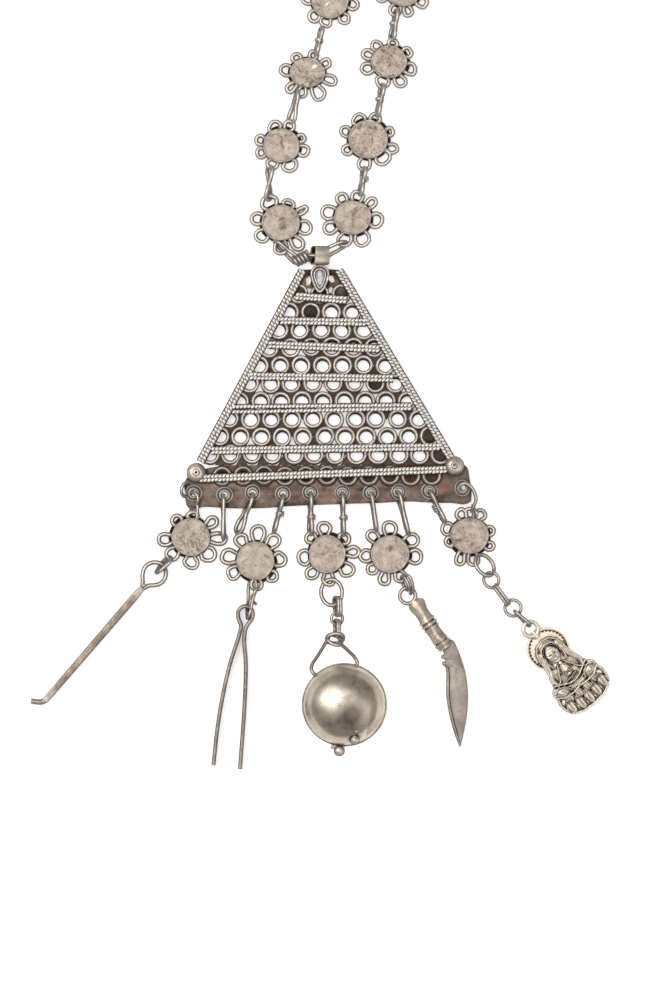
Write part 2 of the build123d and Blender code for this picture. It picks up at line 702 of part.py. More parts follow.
def figurePiece():
    """The seated figure: loop, pierced halo, body with folded hands, crossed legs, lotus base."""
    up = Vector(cos(radians(figureAngle + 180)), sin(radians(figureAngle + 180)), 0)
    across = Vector(up.Y, -up.X, 0)

    def lie(height, along):
        return Plane(
            origin=Vector(figureLoop.X, figureLoop.Y, height) + up * (along * figureLength),
            x_dir=across, z_dir=(0, 0, 1),
        )

    def mirrored(shares):
        right = [(half * figureLength, along * figureLength) for half, along in shares]
        left = [(-half, along) for half, along in reversed(right)]
        return outline(right + left)

    haloRadius = figureLength * 0.221
    with BuildPart() as figure:
        with Locations(figureLoop):
            Torus((figureLoopDiameter - hoopWire) / 2, hoopWire / 2)
        with BuildSketch(lie(0, -0.275)):
            Circle(haloRadius)
            for side in (-1, 1):
                with PolarLocations(haloRadius * 0.8, 5, start_angle=90 - side * 90 - 50, angular_range=125):
                    Circle(figureLength * 0.014, mode=Mode.SUBTRACT)
        extrude(amount=figurePlate)
        with BuildSketch(lie(0, 0)):
            add(mirrored(bodyOutline))
            add(mirrored(baseOutline))
            with Locations((0, -0.09 * figureLength)):
                Rectangle(figureLength * 0.1, figureLength * 0.04)
        extrude(amount=linkMiddle)
        with BuildSketch(lie(figurePlate * 0.5, -0.275)):
            Ellipse(figureLength * 0.095, figureLength * 0.125)
        extrude(amount=figureRelief * 0.9)
        with BuildSketch(lie(0, -0.52)):
            Ellipse(figureLength * 0.14, figureLength * 0.16)
        extrude(amount=figureRelief)
        with BuildSketch(lie(0, -0.745)):
            Ellipse(figureLength * 0.25, figureLength * 0.07)
        extrude(amount=figureRelief * 1.1)
        with BuildSketch(lie(0, -0.62)):
            Ellipse(figureLength * 0.07, figureLength * 0.04)
        extrude(amount=figureRelief * 1.25)
        with BuildSketch(lie(0, 0)):
            add(mirrored(baseOutline))
        extrude(amount=figureRelief)
    return figure


pieces = {}


def place(index):
    """The middle of a drop flower."""
    entry = dropPlaces[index]
    return point(entry[0] * stripLength, -entry[1] * dropFall)


pieces["pendant"] = pendantPiece()
pieces["stone"] = stonePiece()
pieces["bail_link"] = bailLinkPiece()
liftedPetals = {2: (-88, petalLift), 4: (-80, figurePetalLift)}
for index, entry in enumerate(dropPlaces):
    lifted, lift = liftedPetals.get(index, (None, 0.0))
    pieces[f"drop_flower_{index + 1}"] = flower(
        place(index), entry[2], disc=dropDiscs[index], lifted=lifted, lift=lift
    )
    for order, side in enumerate("ab"):
        hole = stripPoint(stripHoles[index * 2 + order])
        target = eye(place(index), entry[2], entry[3 + order])
        pieces[f"hook_{index + 1}{side}"] = loopShape(hole, target, collar=(index, order) in collaredHooks)

scoopEye = towards(eye(place(0), dropOne, -136), -136, -petalWire * 0.3)
scoopCoilEnd = towards(scoopEye, -134, scoopCoilLength)
scoopRing = towards(scoopCoilEnd, -134, (scoopRingDiameter - hoopWire) / 2 - hoopWire / 2 - linkWire / 2 - eyeSlack)
pieces["scoop_coil_ring"] = loopShape(scoopEye, scoopCoilEnd, turns=2)
pieces["ear_scoop"] = scoopPiece()

tweezerLinkStart = eye(place(1), dropTwo, -92)
tweezerLinkEnd = towards(tweezerLinkStart, -104, tweezerLinkLength)
tweezerEye = towards(tweezerLinkEnd, -100, (tweezerEyeWidth - hoopWire) / 2 - hoopWire / 2 - linkWire / 2 - eyeSlack)
pieces["tweezer_link"] = loopShape(tweezerLinkStart, tweezerLinkEnd)
pieces["tweezers"] = tweezersPiece()

petalTip = towards(place(2), -88, petalReach * 1.03 - petalWire / 2)
ovalMiddle = petalTip + Vector(ovalDrift, ovalTuck - ovalLength / 2 + hoopWire / 2, ovalRise)
ovalFoot = towards(ovalMiddle, -88, ovalLength / 2 - hoopWire / 2)
pieces["ball_oval_ring"] = hoop(ovalMiddle, ovalWidth, ovalLength, direction=-88, roll=ovalRoll)
barrelTop = towards(ovalFoot, -88, -hoopWire / 2 - fineWire / 2 - eyeSlack * 1.5)
barrelTop = Vector(barrelTop.X, barrelTop.Y, barrelHeight / 2)
barrelEnd = towards(barrelTop, -88, barrelLength)
smallMiddle = towards(barrelEnd, -88, smallDiameter / 2 - fineWire * 1.5 - smallSlack)
pieces["ball_barrel_link"] = loopShape(barrelTop, barrelEnd, height=barrelHeight, wire=fineWire)
pieces["ball_small_ring"] = hoop(smallMiddle, smallDiameter, smallDiameter, wire=fineWire)
climb = knotRise / smallLinkLength
linkTop = towards(smallMiddle, -97, smallDiameter / 2 - fineWire * 1.5 - smallSlack)
linkTop = linkTop - Vector(0, 0, climb * fineWire)
linkEnd = towards(linkTop, -97, smallLinkLength) + Vector(0, 0, knotRise)
knotRing = towards(linkEnd, -97, knotLength / 2 - hoopWire - fineWire / 2 - eyeSlack)
knotRing = knotRing - Vector(0, 0, climb * hoopWire)
pieces["ball_small_link"] = loopShape(linkTop, linkEnd, wire=fineWire)
ballMiddle = Vector(knotRing.X + 0.115 * ballDiameter, knotRing.Y - 0.785 * ballDiameter, 0)
pieces["ball"] = ballPiece()

knifeEye = eye(place(3), dropFour, -64)
knifeJumpEnd = towards(knifeEye, -70, knifeJumpLength)
knifeRing = towards(knifeJumpEnd, -72, (knifeRingDiameter - hoopWire) / 2 - hoopWire / 2 - linkWire / 2 - eyeSlack)
pieces["knife_jump_ring"] = loopShape(knifeEye, knifeJumpEnd)
pieces["knife"] = knifePiece()

figureEye = eye(place(4), dropFive, -80)
firstMiddle = towards(figureEye, firstSide, firstReach) + Vector(0, 0, firstRise)
secondMiddle = towards(firstMiddle, secondSide, secondReach) + Vector(0, 0, secondRise)
pieces["figure_ring_1"] = hoop(firstMiddle, firstRingDiameter, firstRingDiameter, direction=-46, roll=firstRoll)
pieces["figure_ring_2"] = hoop(
    secondMiddle, secondRingDiameter, secondRingDiameter, direction=-72, roll=secondRoll, wire=secondWire
)
barStart = towards(secondMiddle, -57, secondRingDiameter / 2 - secondWire - linkWire / 2 - eyeSlack * 2)
barStart = Vector(barStart.X, barStart.Y, linkMiddle)
barEnd = towards(barStart, -53.5, figureBarLength)
thirdMiddle = towards(barEnd, -45, thirdRingDiameter / 2 - hoopWire - linkWire / 2 - eyeSlack)
pieces["figure_bar_link"] = loopShape(barStart, barEnd, wire=fineWire)
pieces["figure_ring_3"] = hoop(thirdMiddle, thirdRingDiameter, thirdRingDiameter)
thinStart = towards(thirdMiddle, -45, thirdRingDiameter / 2 - hoopWire - linkWire / 2 - eyeSlack)
thinEnd = towards(thinStart, -45, figureThinLength)
figureLoop = towards(thinEnd, -48, figureLoopDiameter / 2 - hoopWire - linkWire / 2 - eyeSlack)
pieces["figure_thin_link"] = loopShape(thinStart, thinEnd, wire=linkWire)
pieces["figure_charm"] = figurePiece()


def neckWay():
    """The plain way of the chain behind the neck, from the left strand to the right."""
    with BuildLine(Plane.XY.offset(linkMiddle)) as way:
        Spline(leftRoute[-1], *neckRoute, rightRoute[-1], tangents=((0.1, 1), (-0.6, -0.8)))
    return way.wires()[0]


neck = neckWay()
hiddenCount = max(4, round(neck.length / flowerPitch) - 1)
hidden = [neck.position_at((index + 1) / (hiddenCount + 1)) for index in range(hiddenCount)]
hidden = [point(spot.X, spot.Y) for spot in hidden]
spots = [point(*spot) for spot in leftRoute] + hidden + [point(*spot) for spot in reversed(rightRoute)]
tables = [leftOne, leftTwo, leftThree] + [plainFlower] * (hiddenCount + 2) + [rightThree, rightTwo, rightOne]
discs = leftDiscs[:3] + [(1.0, 0.95)] * (hiddenCount + 2) + [rightDiscs[2], rightDiscs[1], rightDiscs[0]]
onward = [121, 111, 68] + [0] * (hiddenCount + 2) + [-108, -96.5, None]
onward[1] = 66
back = [None, -113, -103] + [180] * (hiddenCount + 2) + [80, 70, 78]
turns = [0.0] * len(spots)
for index in range(3, len(spots) - 3):
    turns[index] = heading(spots[index - 1], spots[index + 1])
lastLeft = len(spots) // 2
plainShape = flower(point(0, 0), plainFlower).part


def strand(first, last):
    """A run of flowers and the loops that join each to the next, all loose."""
    shapes = []
    for index in range(first, last):
        if tables[index] is plainFlower:
            spot = Location(Vector(spots[index].X, spots[index].Y, 0), (0, 0, turns[index]))
            shapes.append(plainShape.moved(spot))
        else:
            shapes.append(flower(spots[index], tables[index], disc=discs[index]).part)
    for index in range(first, min(last, len(spots) - 1)):
        start = eye(spots[index], tables[index], onward[index], turns[index])
        end = eye(spots[index + 1], tables[index + 1], back[index + 1], turns[index + 1])
        shapes.append(loopShape(start, end, collar=index > 1).part)
    with BuildPart() as chain:
        add(shapes)
    return chain


pieces["chain_left"] = strand(0, lastLeft)
pieces["chain_right"] = strand(lastLeft, len(spots))

lows = [piece.part.bounding_box().min for piece in pieces.values()]
highs = [piece.part.bounding_box().max for piece in pieces.values()]
toMiddle = Vector(
    -(min(low.X for low in lows) + max(high.X for high in highs)) / 2,
    -(min(low.Y for low in lows) + max(high.Y for high in highs)) / 2,
    -min(low.Z for low in lows),
)
print("shift to the middle of the foot:", round(toMiddle.X, 3), round(toMiddle.Y, 3), round(toMiddle.Z, 3))
os.makedirs("parts", exist_ok=True)
for label, piece in pieces.items():
    piece.part.position += toMiddle
    piece.part.label = label
    export_step(piece.part, f"parts/{label}.step")
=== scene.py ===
import random
from math import atan2, cos, exp, hypot, pi, radians, sin, sqrt

import bpy
from mathutils import Matrix, Vector, noise


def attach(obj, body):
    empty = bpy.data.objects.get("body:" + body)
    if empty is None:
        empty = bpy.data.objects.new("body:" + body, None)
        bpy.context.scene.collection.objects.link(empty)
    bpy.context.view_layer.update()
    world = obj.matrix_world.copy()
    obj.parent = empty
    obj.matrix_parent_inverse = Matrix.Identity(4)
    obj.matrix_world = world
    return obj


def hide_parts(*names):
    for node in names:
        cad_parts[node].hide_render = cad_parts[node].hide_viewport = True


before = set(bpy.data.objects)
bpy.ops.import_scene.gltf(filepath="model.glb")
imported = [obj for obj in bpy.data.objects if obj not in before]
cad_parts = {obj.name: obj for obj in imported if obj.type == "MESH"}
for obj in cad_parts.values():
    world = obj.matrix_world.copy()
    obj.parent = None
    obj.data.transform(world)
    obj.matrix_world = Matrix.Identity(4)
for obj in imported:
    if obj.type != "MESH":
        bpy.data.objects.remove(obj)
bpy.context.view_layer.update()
chance = random.Random(11)
print("frame loaded")

# the photograph's middle and what one of its pixels measures on the necklace, in millimetres
photo = {"pixel": 0.3, "u": 330.0, "v": 495.0, "x": -12.335, "y": -114.577}


def at(u, v, z=0.0):
    # a place in the photograph, at a height in millimetres
    x = (u - photo["u"]) * photo["pixel"] + photo["x"]
    y = (photo["v"] - v) * photo["pixel"] + photo["y"]
    return Vector((x, y, z)) / 1000


def clearSelection():
    if bpy.context.object and bpy.context.object.mode != "OBJECT":
        bpy.ops.object.mode_set(mode="OBJECT")
    bpy.ops.object.select_all(action="DESELECT")


def started(maker, **settings):
    # a new plain shape, at the middle where no place is given
    clearSelection()
    maker(**{"location": (0, 0, 0), **settings})
    return bpy.context.object


def drum(vertices, radius, depth, **settings):
    # a new cylinder
    return started(bpy.ops.mesh.primitive_cylinder_add, vertices=vertices, radius=radius, depth=depth,
                   **settings)


def chosen(piece):
    # this piece alone selected
    clearSelection()
    piece.select_set(True)
    bpy.context.view_layer.objects.active = piece


def applyPlace():
    bpy.ops.object.transform_apply(location=True, rotation=True, scale=True)


def flatRay(degrees):
    # the flat direction at an angle
    return Vector((cos(radians(degrees)), sin(radians(degrees)), 0))


def leftOf(ray):
    # the flat direction across another
    return Vector((-ray.y, ray.x, 0))


def pickFaces(piece, wanted=lambda face: face.normal.z > 0.9):
    # edit mode with only the wanted faces selected, those on top where no others are named
    bpy.ops.object.mode_set(mode="EDIT")
    bpy.ops.mesh.select_mode(type="FACE")
    bpy.ops.mesh.select_all(action="DESELECT")
    bpy.ops.object.mode_set(mode="OBJECT")
    for face in piece.data.polygons:
        face.select = wanted(face)
    bpy.ops.object.mode_set(mode="EDIT")


def leaveEdit():
    bpy.ops.object.mode_set(mode="OBJECT")
    return bpy.context.object


def steppedTop(piece, steps):
    # faces set into the top, each step as its inset and its rise
    pickFaces(piece)
    for inset, rise in steps:
        bpy.ops.mesh.inset(thickness=inset)
        if rise:
            bpy.ops.transform.translate(value=(0, 0, rise))
    return leaveEdit()


def turnOutwards(piece, gap=0.00001):
    # doubles merged and normals turned outwards
    chosen(piece)
    bpy.ops.object.mode_set(mode="EDIT")
    bpy.ops.mesh.select_all(action="SELECT")
    bpy.ops.mesh.remove_doubles(threshold=gap)
    bpy.ops.mesh.normals_make_consistent(inside=False)
    bpy.ops.object.mode_set(mode="OBJECT")
    return piece


def joined(pieces):
    clearSelection()
    for piece in pieces:
        piece.select_set(True)
    bpy.context.view_layer.objects.active = pieces[0]
    if len(pieces) > 1:
        bpy.ops.object.join()
    return pieces[0]


def copied(piece, matrix=None):
    twin = piece.copy()
    twin.data = piece.data.copy()
    bpy.context.scene.collection.objects.link(twin)
    if matrix is not None:
        twin.data.transform(matrix)
    return twin


def dressed(piece, finish):
    piece.data.materials.clear()
    piece.data.materials.append(finish)
    return piece


def settled(piece, name, stands=(), smooth=38):
    # the finished piece: placed in its own mesh, shaded smooth and riding on the necklace
    chosen(piece)
    piece.name = name
    piece.data.name = name
    applyPlace()
    bpy.ops.object.shade_smooth_by_angle(angle=radians(smooth))
    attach(piece, "root")
    if stands:
        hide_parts(*stands)
    return piece


def drawLine(route, spots, closed, thick=1.0, kind="AUTO"):
    # one line of a curve through its places
    line = route.splines.new("BEZIER")
    line.bezier_points.add(len(spots) - 1)
    line.use_cyclic_u = closed
    for knot, spot in zip(line.bezier_points, spots):
        knot.co = spot
        knot.radius = thick
        knot.handle_left_type = kind
        knot.handle_right_type = kind


def bentWires(runs, steps=5, sides=10):
    # runs of round wire, each as its points, its thickness in millimetres and whether it is closed
    route = started(bpy.ops.curve.primitive_bezier_curve_add).data
    route.splines.clear()
    route.dimensions = "3D"
    route.resolution_u = steps
    route.bevel_depth = 0.0005
    route.bevel_resolution = sides // 2 - 2
    route.use_fill_caps = True
    for points, thick, closed in runs:
        drawLine(route, points, closed, thick)
    bpy.ops.object.convert(target="MESH")
    return bpy.context.object


def wirePiece(name, node, runs, steps=5):
    # a piece of bent silver wire in place of its node
    return settled(dressed(bentWires(runs, steps=steps), wireSilver), name, (node,))


def flatPlate(outlines, low, high, edge=0.1, curved=True):
    # a plate from closed outlines, the first its edge and the others its holes
    piece = started(bpy.ops.curve.primitive_bezier_circle_add)
    shape = piece.data
    shape.splines.clear()
    shape.dimensions = "2D"
    shape.fill_mode = "BOTH"
    shape.resolution_u = 6
    shape.bevel_depth = edge / 1000
    shape.bevel_resolution = 1
    shape.offset = -edge / 1000
    shape.extrude = (high - low) / 2000 - edge / 1000
    for outline in outlines:
        drawLine(shape, [(spot[0], spot[1], 0) for spot in outline], True,
                 kind="AUTO" if curved else "VECTOR")
    piece.location.z = (high + low) / 2000
    bpy.ops.object.convert(target="MESH")
    applyPlace()
    return turnOutwards(bpy.context.object)


def seen(red, green, blue):
    # a colour as it is seen, made linear for the shaders
    return tuple((value / 255) ** 2.2 for value in (red, green, blue)) + (1.0,)


# the look that the others start from: colours as seen, sizes in millimetres, shares from 0 to 1. The dark tone
# is painted shade on sides and in recesses and also the colour of scratches, pits and tarnish; the bright tone
# is a painted highlight on edges, partly wear.
silver = {
    "light": (242, 225, 201), "mid": (204, 185, 162), "dark": (40, 26, 17), "spot": (118, 100, 84),
    "bright": (246, 240, 232), "cloud": 0.35, "fleck": 2.6, "stain": 0.5, "stained": 0.45,
    "side": (0.88, 1.02), "reach": 1.6, "hollow": (0.52, 1.0), "ragged": 0.35, "wearAndHighlight": 0.5, "metal": 0.6,
    "rough": 0.32, "bump": 0.35, "dent": 0.6, "lines": 0.0, "pits": 0.2}


def agedMetal(name, look):
    # silver with mottled tones, tarnish stains, scratches and pits; painted shade darkens its sides, a dark
    # brown that is partly tarnish and partly painted shade fills its recesses, and its edges are paler, partly
    # wear and partly painted highlight
    look = {**silver, **look}
    for tone in ("light", "mid", "dark", "spot", "bright"):
        look[tone] = seen(*look[tone])
    metal = bpy.data.materials.new(name)
    metal.use_nodes = True
    tree = metal.node_tree
    shader = tree.nodes["Principled BSDF"]

    def node(kind, inputs, out, **settings):
        item = tree.nodes.new("ShaderNode" + kind)
        for key, value in settings.items():
            setattr(item, key, value)
        for key, value in inputs.items():
            if isinstance(value, bpy.types.NodeSocket):
                tree.links.new(value, item.inputs[key])
            else:
                item.inputs[key].default_value = value
        return item.outputs[out]

    def between(value, low, high, toLow=0.0, toHigh=1.0):
        return node("MapRange", {"Value": value, "From Min": low, "From Max": high,
                                 "To Min": toLow, "To Max": toHigh}, "Result")

    def blend(share, first, second, kind="MIX"):
        return node("Mix", {0: share, 6: first, 7: second}, 2, data_type="RGBA", blend_type=kind)

    def times(first, second):
        return node("Math", {0: first, 1: second}, "Value", operation="MULTIPLY")

    def plus(first, second):
        return node("Math", {0: first, 1: second}, "Value", operation="ADD")

    place = node("TexCoord", {}, "Object")
    inch = node("Mapping", {"Vector": place, "Scale": (1000, 1000, 1000)}, "Vector")
    cloud = node("TexNoise", {"Vector": inch, "Scale": look["cloud"], "Detail": 5.0, "Roughness": 0.6}, "Fac")
    fleck = node("TexNoise", {"Vector": inch, "Scale": look["fleck"], "Detail": 4.0, "Roughness": 0.7}, "Fac")
    stain = node("TexNoise", {"Vector": inch, "Scale": look["stain"], "Detail": 6.0, "Roughness": 0.65,
                              "Distortion": 0.6}, "Fac")
    # sides darker and upward faces lighter by the way the surface faces: painted shade and painted light
    normal = node("NewGeometry", {}, "Normal")
    upward = node("Math", {0: node("SeparateXYZ", {"Vector": normal}, "Z")}, "Value", operation="ABSOLUTE")
    face = between(upward, look["side"][0], look["side"][1])
    # darker in recesses and between parts by ambient occlusion: partly tarnish, partly painted shade
    hollow = node("AmbientOcclusion", {"Distance": look["reach"] / 1000}, "AO", samples=8)
    unshadedAndBare = between(hollow, look["hollow"][0], look["hollow"][1])
    rough = times(plus(fleck, -0.5), look["ragged"])
    # the share left light: painted light on upward faces, less painted shade and tarnish in recesses, broken by
    # flecks; low values also make the metal rougher and less reflective
    litAndUntarnished = plus(times(face, unshadedAndBare), rough)
    body = blend(between(cloud, 0.36, 0.64), look["mid"], look["light"])
    slanted = node("VectorRotate", {"Vector": inch, "Angle": 0.9}, "Vector")
    grain = node("Mapping", {"Vector": slanted, "Scale": (0.9, 3.4, 1)}, "Vector")
    scratch = node("TexNoise", {"Vector": grain, "Scale": 1.0, "Detail": 4.0, "Roughness": 0.7,
                                "Distortion": 0.8}, "Fac")
    body = blend(times(between(scratch, 0.52, 0.64), look["lines"]), body, look["dark"])
    worse = between(node("TexNoise", {"Vector": inch, "Scale": 0.055, "Detail": 1.0}, "Fac"), 0.44, 0.58)
    pit = between(node("TexNoise", {"Vector": inch, "Scale": 1.5, "Detail": 6.0,
                                    "Roughness": 0.75}, "Fac"), 0.52, 0.62)
    body = blend(times(times(pit, plus(times(worse, 0.8), 0.2)), look["pits"]), body, look["dark"])
    stained = blend(times(between(stain, 0.53, 0.66), look["stained"]), body, look["spot"])
    # the dark tone where that share is low: painted shade on the sides, painted shade and tarnish in recesses
    skin = blend(between(litAndUntarnished, 0.12, 0.86), look["dark"], stained)
    # edges made paler by pointiness: partly wear, partly painted highlight
    ridge = between(node("NewGeometry", {}, "Pointiness"), 0.52, 0.6)
    skin = blend(times(ridge, look["wearAndHighlight"]), skin, look["bright"])
    tree.links.new(skin, shader.inputs["Base Color"])
    tree.links.new(between(litAndUntarnished, 0.0, 1.0, look["rough"] + 0.22, look["rough"]), shader.inputs["Roughness"])
    tree.links.new(between(litAndUntarnished, 0.0, 0.6, 0.05, look["metal"]), shader.inputs["Metallic"])
    tree.links.new(between(litAndUntarnished, 0.0, 0.6, 0.08, 0.5), shader.inputs["Specular IOR Level"])
    height = plus(times(fleck, 0.6), times(cloud, look["dent"]))
    tree.links.new(node("Bump", {"Height": height, "Strength": look["bump"], "Distance": 0.00025}, "Normal"),
                   shader.inputs["Normal"])
    # a dark patch round a given place: a painted dark reflection
    if "darkReflection" in look:
        aim, size = look["darkReflection"]
        centred = node("Mapping", {"Vector": place, "Location": tuple(-value / size for value in aim),
                                   "Scale": (1 / size, 1 / size, 1 / size)}, "Vector")
        patch = node("TexGradient", {"Vector": centred}, "Fac", gradient_type="SPHERICAL")
        uneven = between(plus(patch, times(plus(cloud, -0.5), 0.7)), 0.1, 0.62)
        shaded = blend(times(uneven, 0.75), skin, look["dark"])
        tree.links.new(shaded, shader.inputs["Base Color"])
    return metal


def mottled(name, scale, stops, tones, settings):
    # a finish with a noise pattern between two tones
    finish = bpy.data.materials.new(name)
    finish.use_nodes = True
    tree = finish.node_tree
    shader = tree.nodes["Principled BSDF"]
    kinds = ("TexCoord", "TexNoise", "ValToRGB")
    place, pattern, ramp = (tree.nodes.new("ShaderNode" + kind) for kind in kinds)
    tree.links.new(place.outputs["Object"], pattern.inputs["Vector"])
    tree.links.new(pattern.outputs["Fac"], ramp.inputs["Fac"])
    tree.links.new(ramp.outputs["Color"], shader.inputs["Base Color"])
    pattern.inputs["Scale"].default_value = scale
    for element, stop, tone in zip(ramp.color_ramp.elements, stops, tones):
        element.position = stop
        element.color = tone
    for key, value in settings.items():
        shader.inputs[key].default_value = value
    return finish


wireSilver = agedMetal("wire_silver", {})
discSilver = agedMetal("disc_silver", {
    "light": (205, 189, 173), "mid": (172, 157, 142), "spot": (102, 84, 72), "cloud": 0.3,
    "reach": 1.3, "hollow": (0.45, 0.95),
    "fleck": 1.9, "stain": 0.42, "stained": 0.85, "bump": 0.7, "ragged": 0.5, "side": (0.3, 0.9), "wearAndHighlight": 0.9,
    "metal": 0.35, "rough": 0.5, "dent": 1.2, "lines": 0.35, "pits": 0.8})
beadSilver = agedMetal("bead_silver", {
    "light": (224, 210, 192), "mid": (184, 168, 150), "side": (0.88, 1.02), "reach": 1.0,
    "hollow": (0.55, 0.98), "stained": 0.4, "bump": 0.2, "wearAndHighlight": 0.8})
ringSilver = agedMetal("ring_silver", {
    "light": (200, 186, 170), "mid": (150, 134, 120), "stained": 0.6, "side": (0.15, 0.7),
    "reach": 1.6, "hollow": (0.5, 0.98)})
# dark brown for solder and joins, and for dark pieces put where shade falls: painted shadows
solderAndShadeBrown = agedMetal("solder_and_shade_brown", {
    "light": (70, 48, 36), "mid": (42, 27, 18), "dark": (22, 13, 8), "spot": (96, 66, 52),
    "cloud": 0.5, "side": (0.2, 0.9), "metal": 0.25, "rough": 0.6, "wearAndHighlight": 0.3, "bright": (120, 100, 86),
    "bump": 0.8})
stripBrown = agedMetal("strip_brown", {
    "light": (138, 117, 103), "mid": (44, 29, 21), "dark": (26, 16, 11), "spot": (126, 68, 52),
    "cloud": 0.24, "fleck": 1.6, "stain": 0.2, "stained": 0.8, "lines": 0.35, "pits": 0.5, "metal": 0.4,
    "rough": 0.45, "wearAndHighlight": 0.5, "bright": (176, 160, 146), "bump": 0.8, "side": (0.1, 0.6), "reach": 1.8})
ballSilver = agedMetal("ball_silver", {
    "light": (216, 203, 186), "mid": (182, 167, 150), "spot": (124, 108, 92), "cloud": 0.09,
    "fleck": 0.8, "stain": 0.14, "stained": 0.6, "side": (-0.1, 0.35), "reach": 1.2, "metal": 0.8,
    "rough": 0.33, "bump": 0.12, "wearAndHighlight": 0.2, "ragged": 0.15, "lines": 0.25,
    # a painted dark reflection on the ball, round this place and with this size
    "darkReflection": (at(351, 712, 15.0), 0.0062)})
bladeSilver = agedMetal("blade_silver", {
    "light": (164, 147, 135), "mid": (116, 100, 90), "spot": (88, 72, 62), "stained": 0.7, "cloud": 0.2,
    "fleck": 3.2, "metal": 0.5, "rough": 0.34, "ragged": 0.3, "lines": 0.3})
toolSilver = agedMetal("tool_silver", {
    "light": (170, 154, 136), "mid": (128, 112, 97), "stained": 0.7, "side": (0.5, 0.95),
    "lines": 0.6, "pits": 0.8})
gripSilver = agedMetal("grip_silver", {
    "light": (220, 204, 186), "mid": (180, 163, 145), "side": (0.42, 0.93), "reach": 1.0,
    "hollow": (0.45, 0.92)})
prongSilver = agedMetal("prong_silver", {
    "light": (150, 132, 115), "mid": (98, 82, 69), "spot": (52, 38, 29), "stain": 0.3,
    "stained": 0.9, "side": (0.5, 0.98), "pits": 0.9})
lobeBrown = agedMetal("lobe_brown", {
    "light": (160, 136, 120), "mid": (96, 74, 61), "dark": (26, 16, 11), "side": (0.4, 0.95),
    "stained": 0.6, "metal": 0.4})
figureSilver = agedMetal("figure_silver", {
    "light": (236, 223, 204), "mid": (216, 201, 181), "dark": (48, 35, 25), "side": (0.0, 0.62),
    "reach": 0.7, "hollow": (0.38, 0.84), "stained": 0.45, "ragged": 0.15, "wearAndHighlight": 0.6, "bump": 0.15})
print("finishes made")

# The chain's flowers: middle, disc widths across and along, then petals as direction, tip and width
flowers = {
    "l1": {"at": (281.0, 222.8), "disc": (38.8, 35.7), "petals": [
        (121, 32, 20), (70, 26, 15), (31, 32, 10), (-8, 33, 17), (-53, 35, 15), (-95, 33, 16.6),
        (-148, 31.6, 17), (168, 32, 16)]},
    "r1": {"at": (352.5, 217.7), "disc": (37.5, 34.7), "petals": [
        (78, 29, 15.5), (34, 31, 13), (-8, 32, 18.4), (-62, 32, 19), (-108.5, 32, 16.6), (-154, 33, 16),
        (165, 33, 17.6), (119, 29, 14.5)]},
    "l2": {"at": (281.5, 145.8), "disc": (36.7, 34.4), "petals": [
        (66, 28, 14), (25, 27, 12), (-14.5, 29.5, 15), (-67, 29, 18), (-113, 27, 15), (-160, 28, 14),
        (163, 28.5, 13.5), (111, 27, 16.6)]},
    "r2": {"at": (368.0, 139.5), "disc": (39.8, 38.3), "petals": [
        (70, 29, 15), (20, 29, 13), (-22, 33, 13), (-54, 32, 19.6), (-96.5, 32.5, 16), (-149, 30, 14),
        (164, 30.6, 14), (116, 29, 17)]},
    "l3": {"at": (307.5, 72.8), "disc": (35.2, 29.6), "petals": [
        (68, 25, 12), (23, 27, 13), (-19, 32, 13), (-64, 32, 16.6), (-103, 27.6, 12), (-142, 29, 12),
        (177, 29, 15), (124, 25, 13)]},
    "r3": {"at": (389.0, 62.0), "disc": (36.2, 32.7), "petals": [
        (80, 25, 13), (31, 27, 14), (-14, 30, 15), (-62, 30, 14.5), (-108, 28, 17), (-159, 31, 15.5),
        (165, 30, 13), (124, 27, 13.5)]},
    "l4": {"at": (330.0, 1.7), "disc": (37, 34), "petals": [
        (87, 30, 15), (131, 29, 14), (175, 30, 16), (222, 29, 15), (-106, 27, 15), (-50, 29, 14),
        (-5, 30, 15), (43, 29, 14)]},
    "r4": {"at": (403.0, -10.3), "disc": (37, 34), "petals": [
        (63, 30, 15), (107, 29, 14), (151, 30, 16), (198, 29, 15), (-107, 29, 15), (-75, 29, 12),
        (-29, 30, 15), (19, 29, 14)]},
    "d1": {"at": (191.0, 537.2), "disc": (38.5, 38), "petals": [
        (134, 29, 15), (-174, 35, 16), (-136, 33, 16), (-95, 33, 17), (-47, 33, 19), (-3, 37, 15),
        (32, 33, 14), (86, 28, 15)]},
    "d2": {"at": (255.5, 560.7), "disc": (38.5, 39), "petals": [
        (85, 37, 17), (45, 35, 16), (5, 32, 18), (-40, 30, 15), (-92, 31, 15), (-151, 33, 16),
        (167, 36, 18.6), (128, 33, 16)]},
    "d3": {"at": (327.0, 554.1), "disc": (37, 38), "petals": [
        (94, 34, 16), (38, 30, 15), (5, 34, 14), (-39, 34, 17), (-88, 33, 15), (-128, 32, 15),
        (-172, 31.5, 19), (136, 30, 15)]},
    "d4": {"at": (390.0, 554.1), "disc": (38.5, 38), "petals": [
        (86.5, 34, 17), (35, 34, 17), (-7, 34, 18), (-64, 32, 14), (-101, 33, 14.5), (-137, 30, 14),
        (-178, 32, 16), (132, 33, 15)]},
    "d5": {"at": (469.7, 535.4), "disc": (38.5, 36), "petals": [
        (92, 29, 13), (65, 30, 14), (14, 27, 13), (-28, 29, 13), (-80, 32, 15), (-113, 33, 13),
        (-158, 27, 13), (165, 31, 16), (115, 30, 14)]},
}
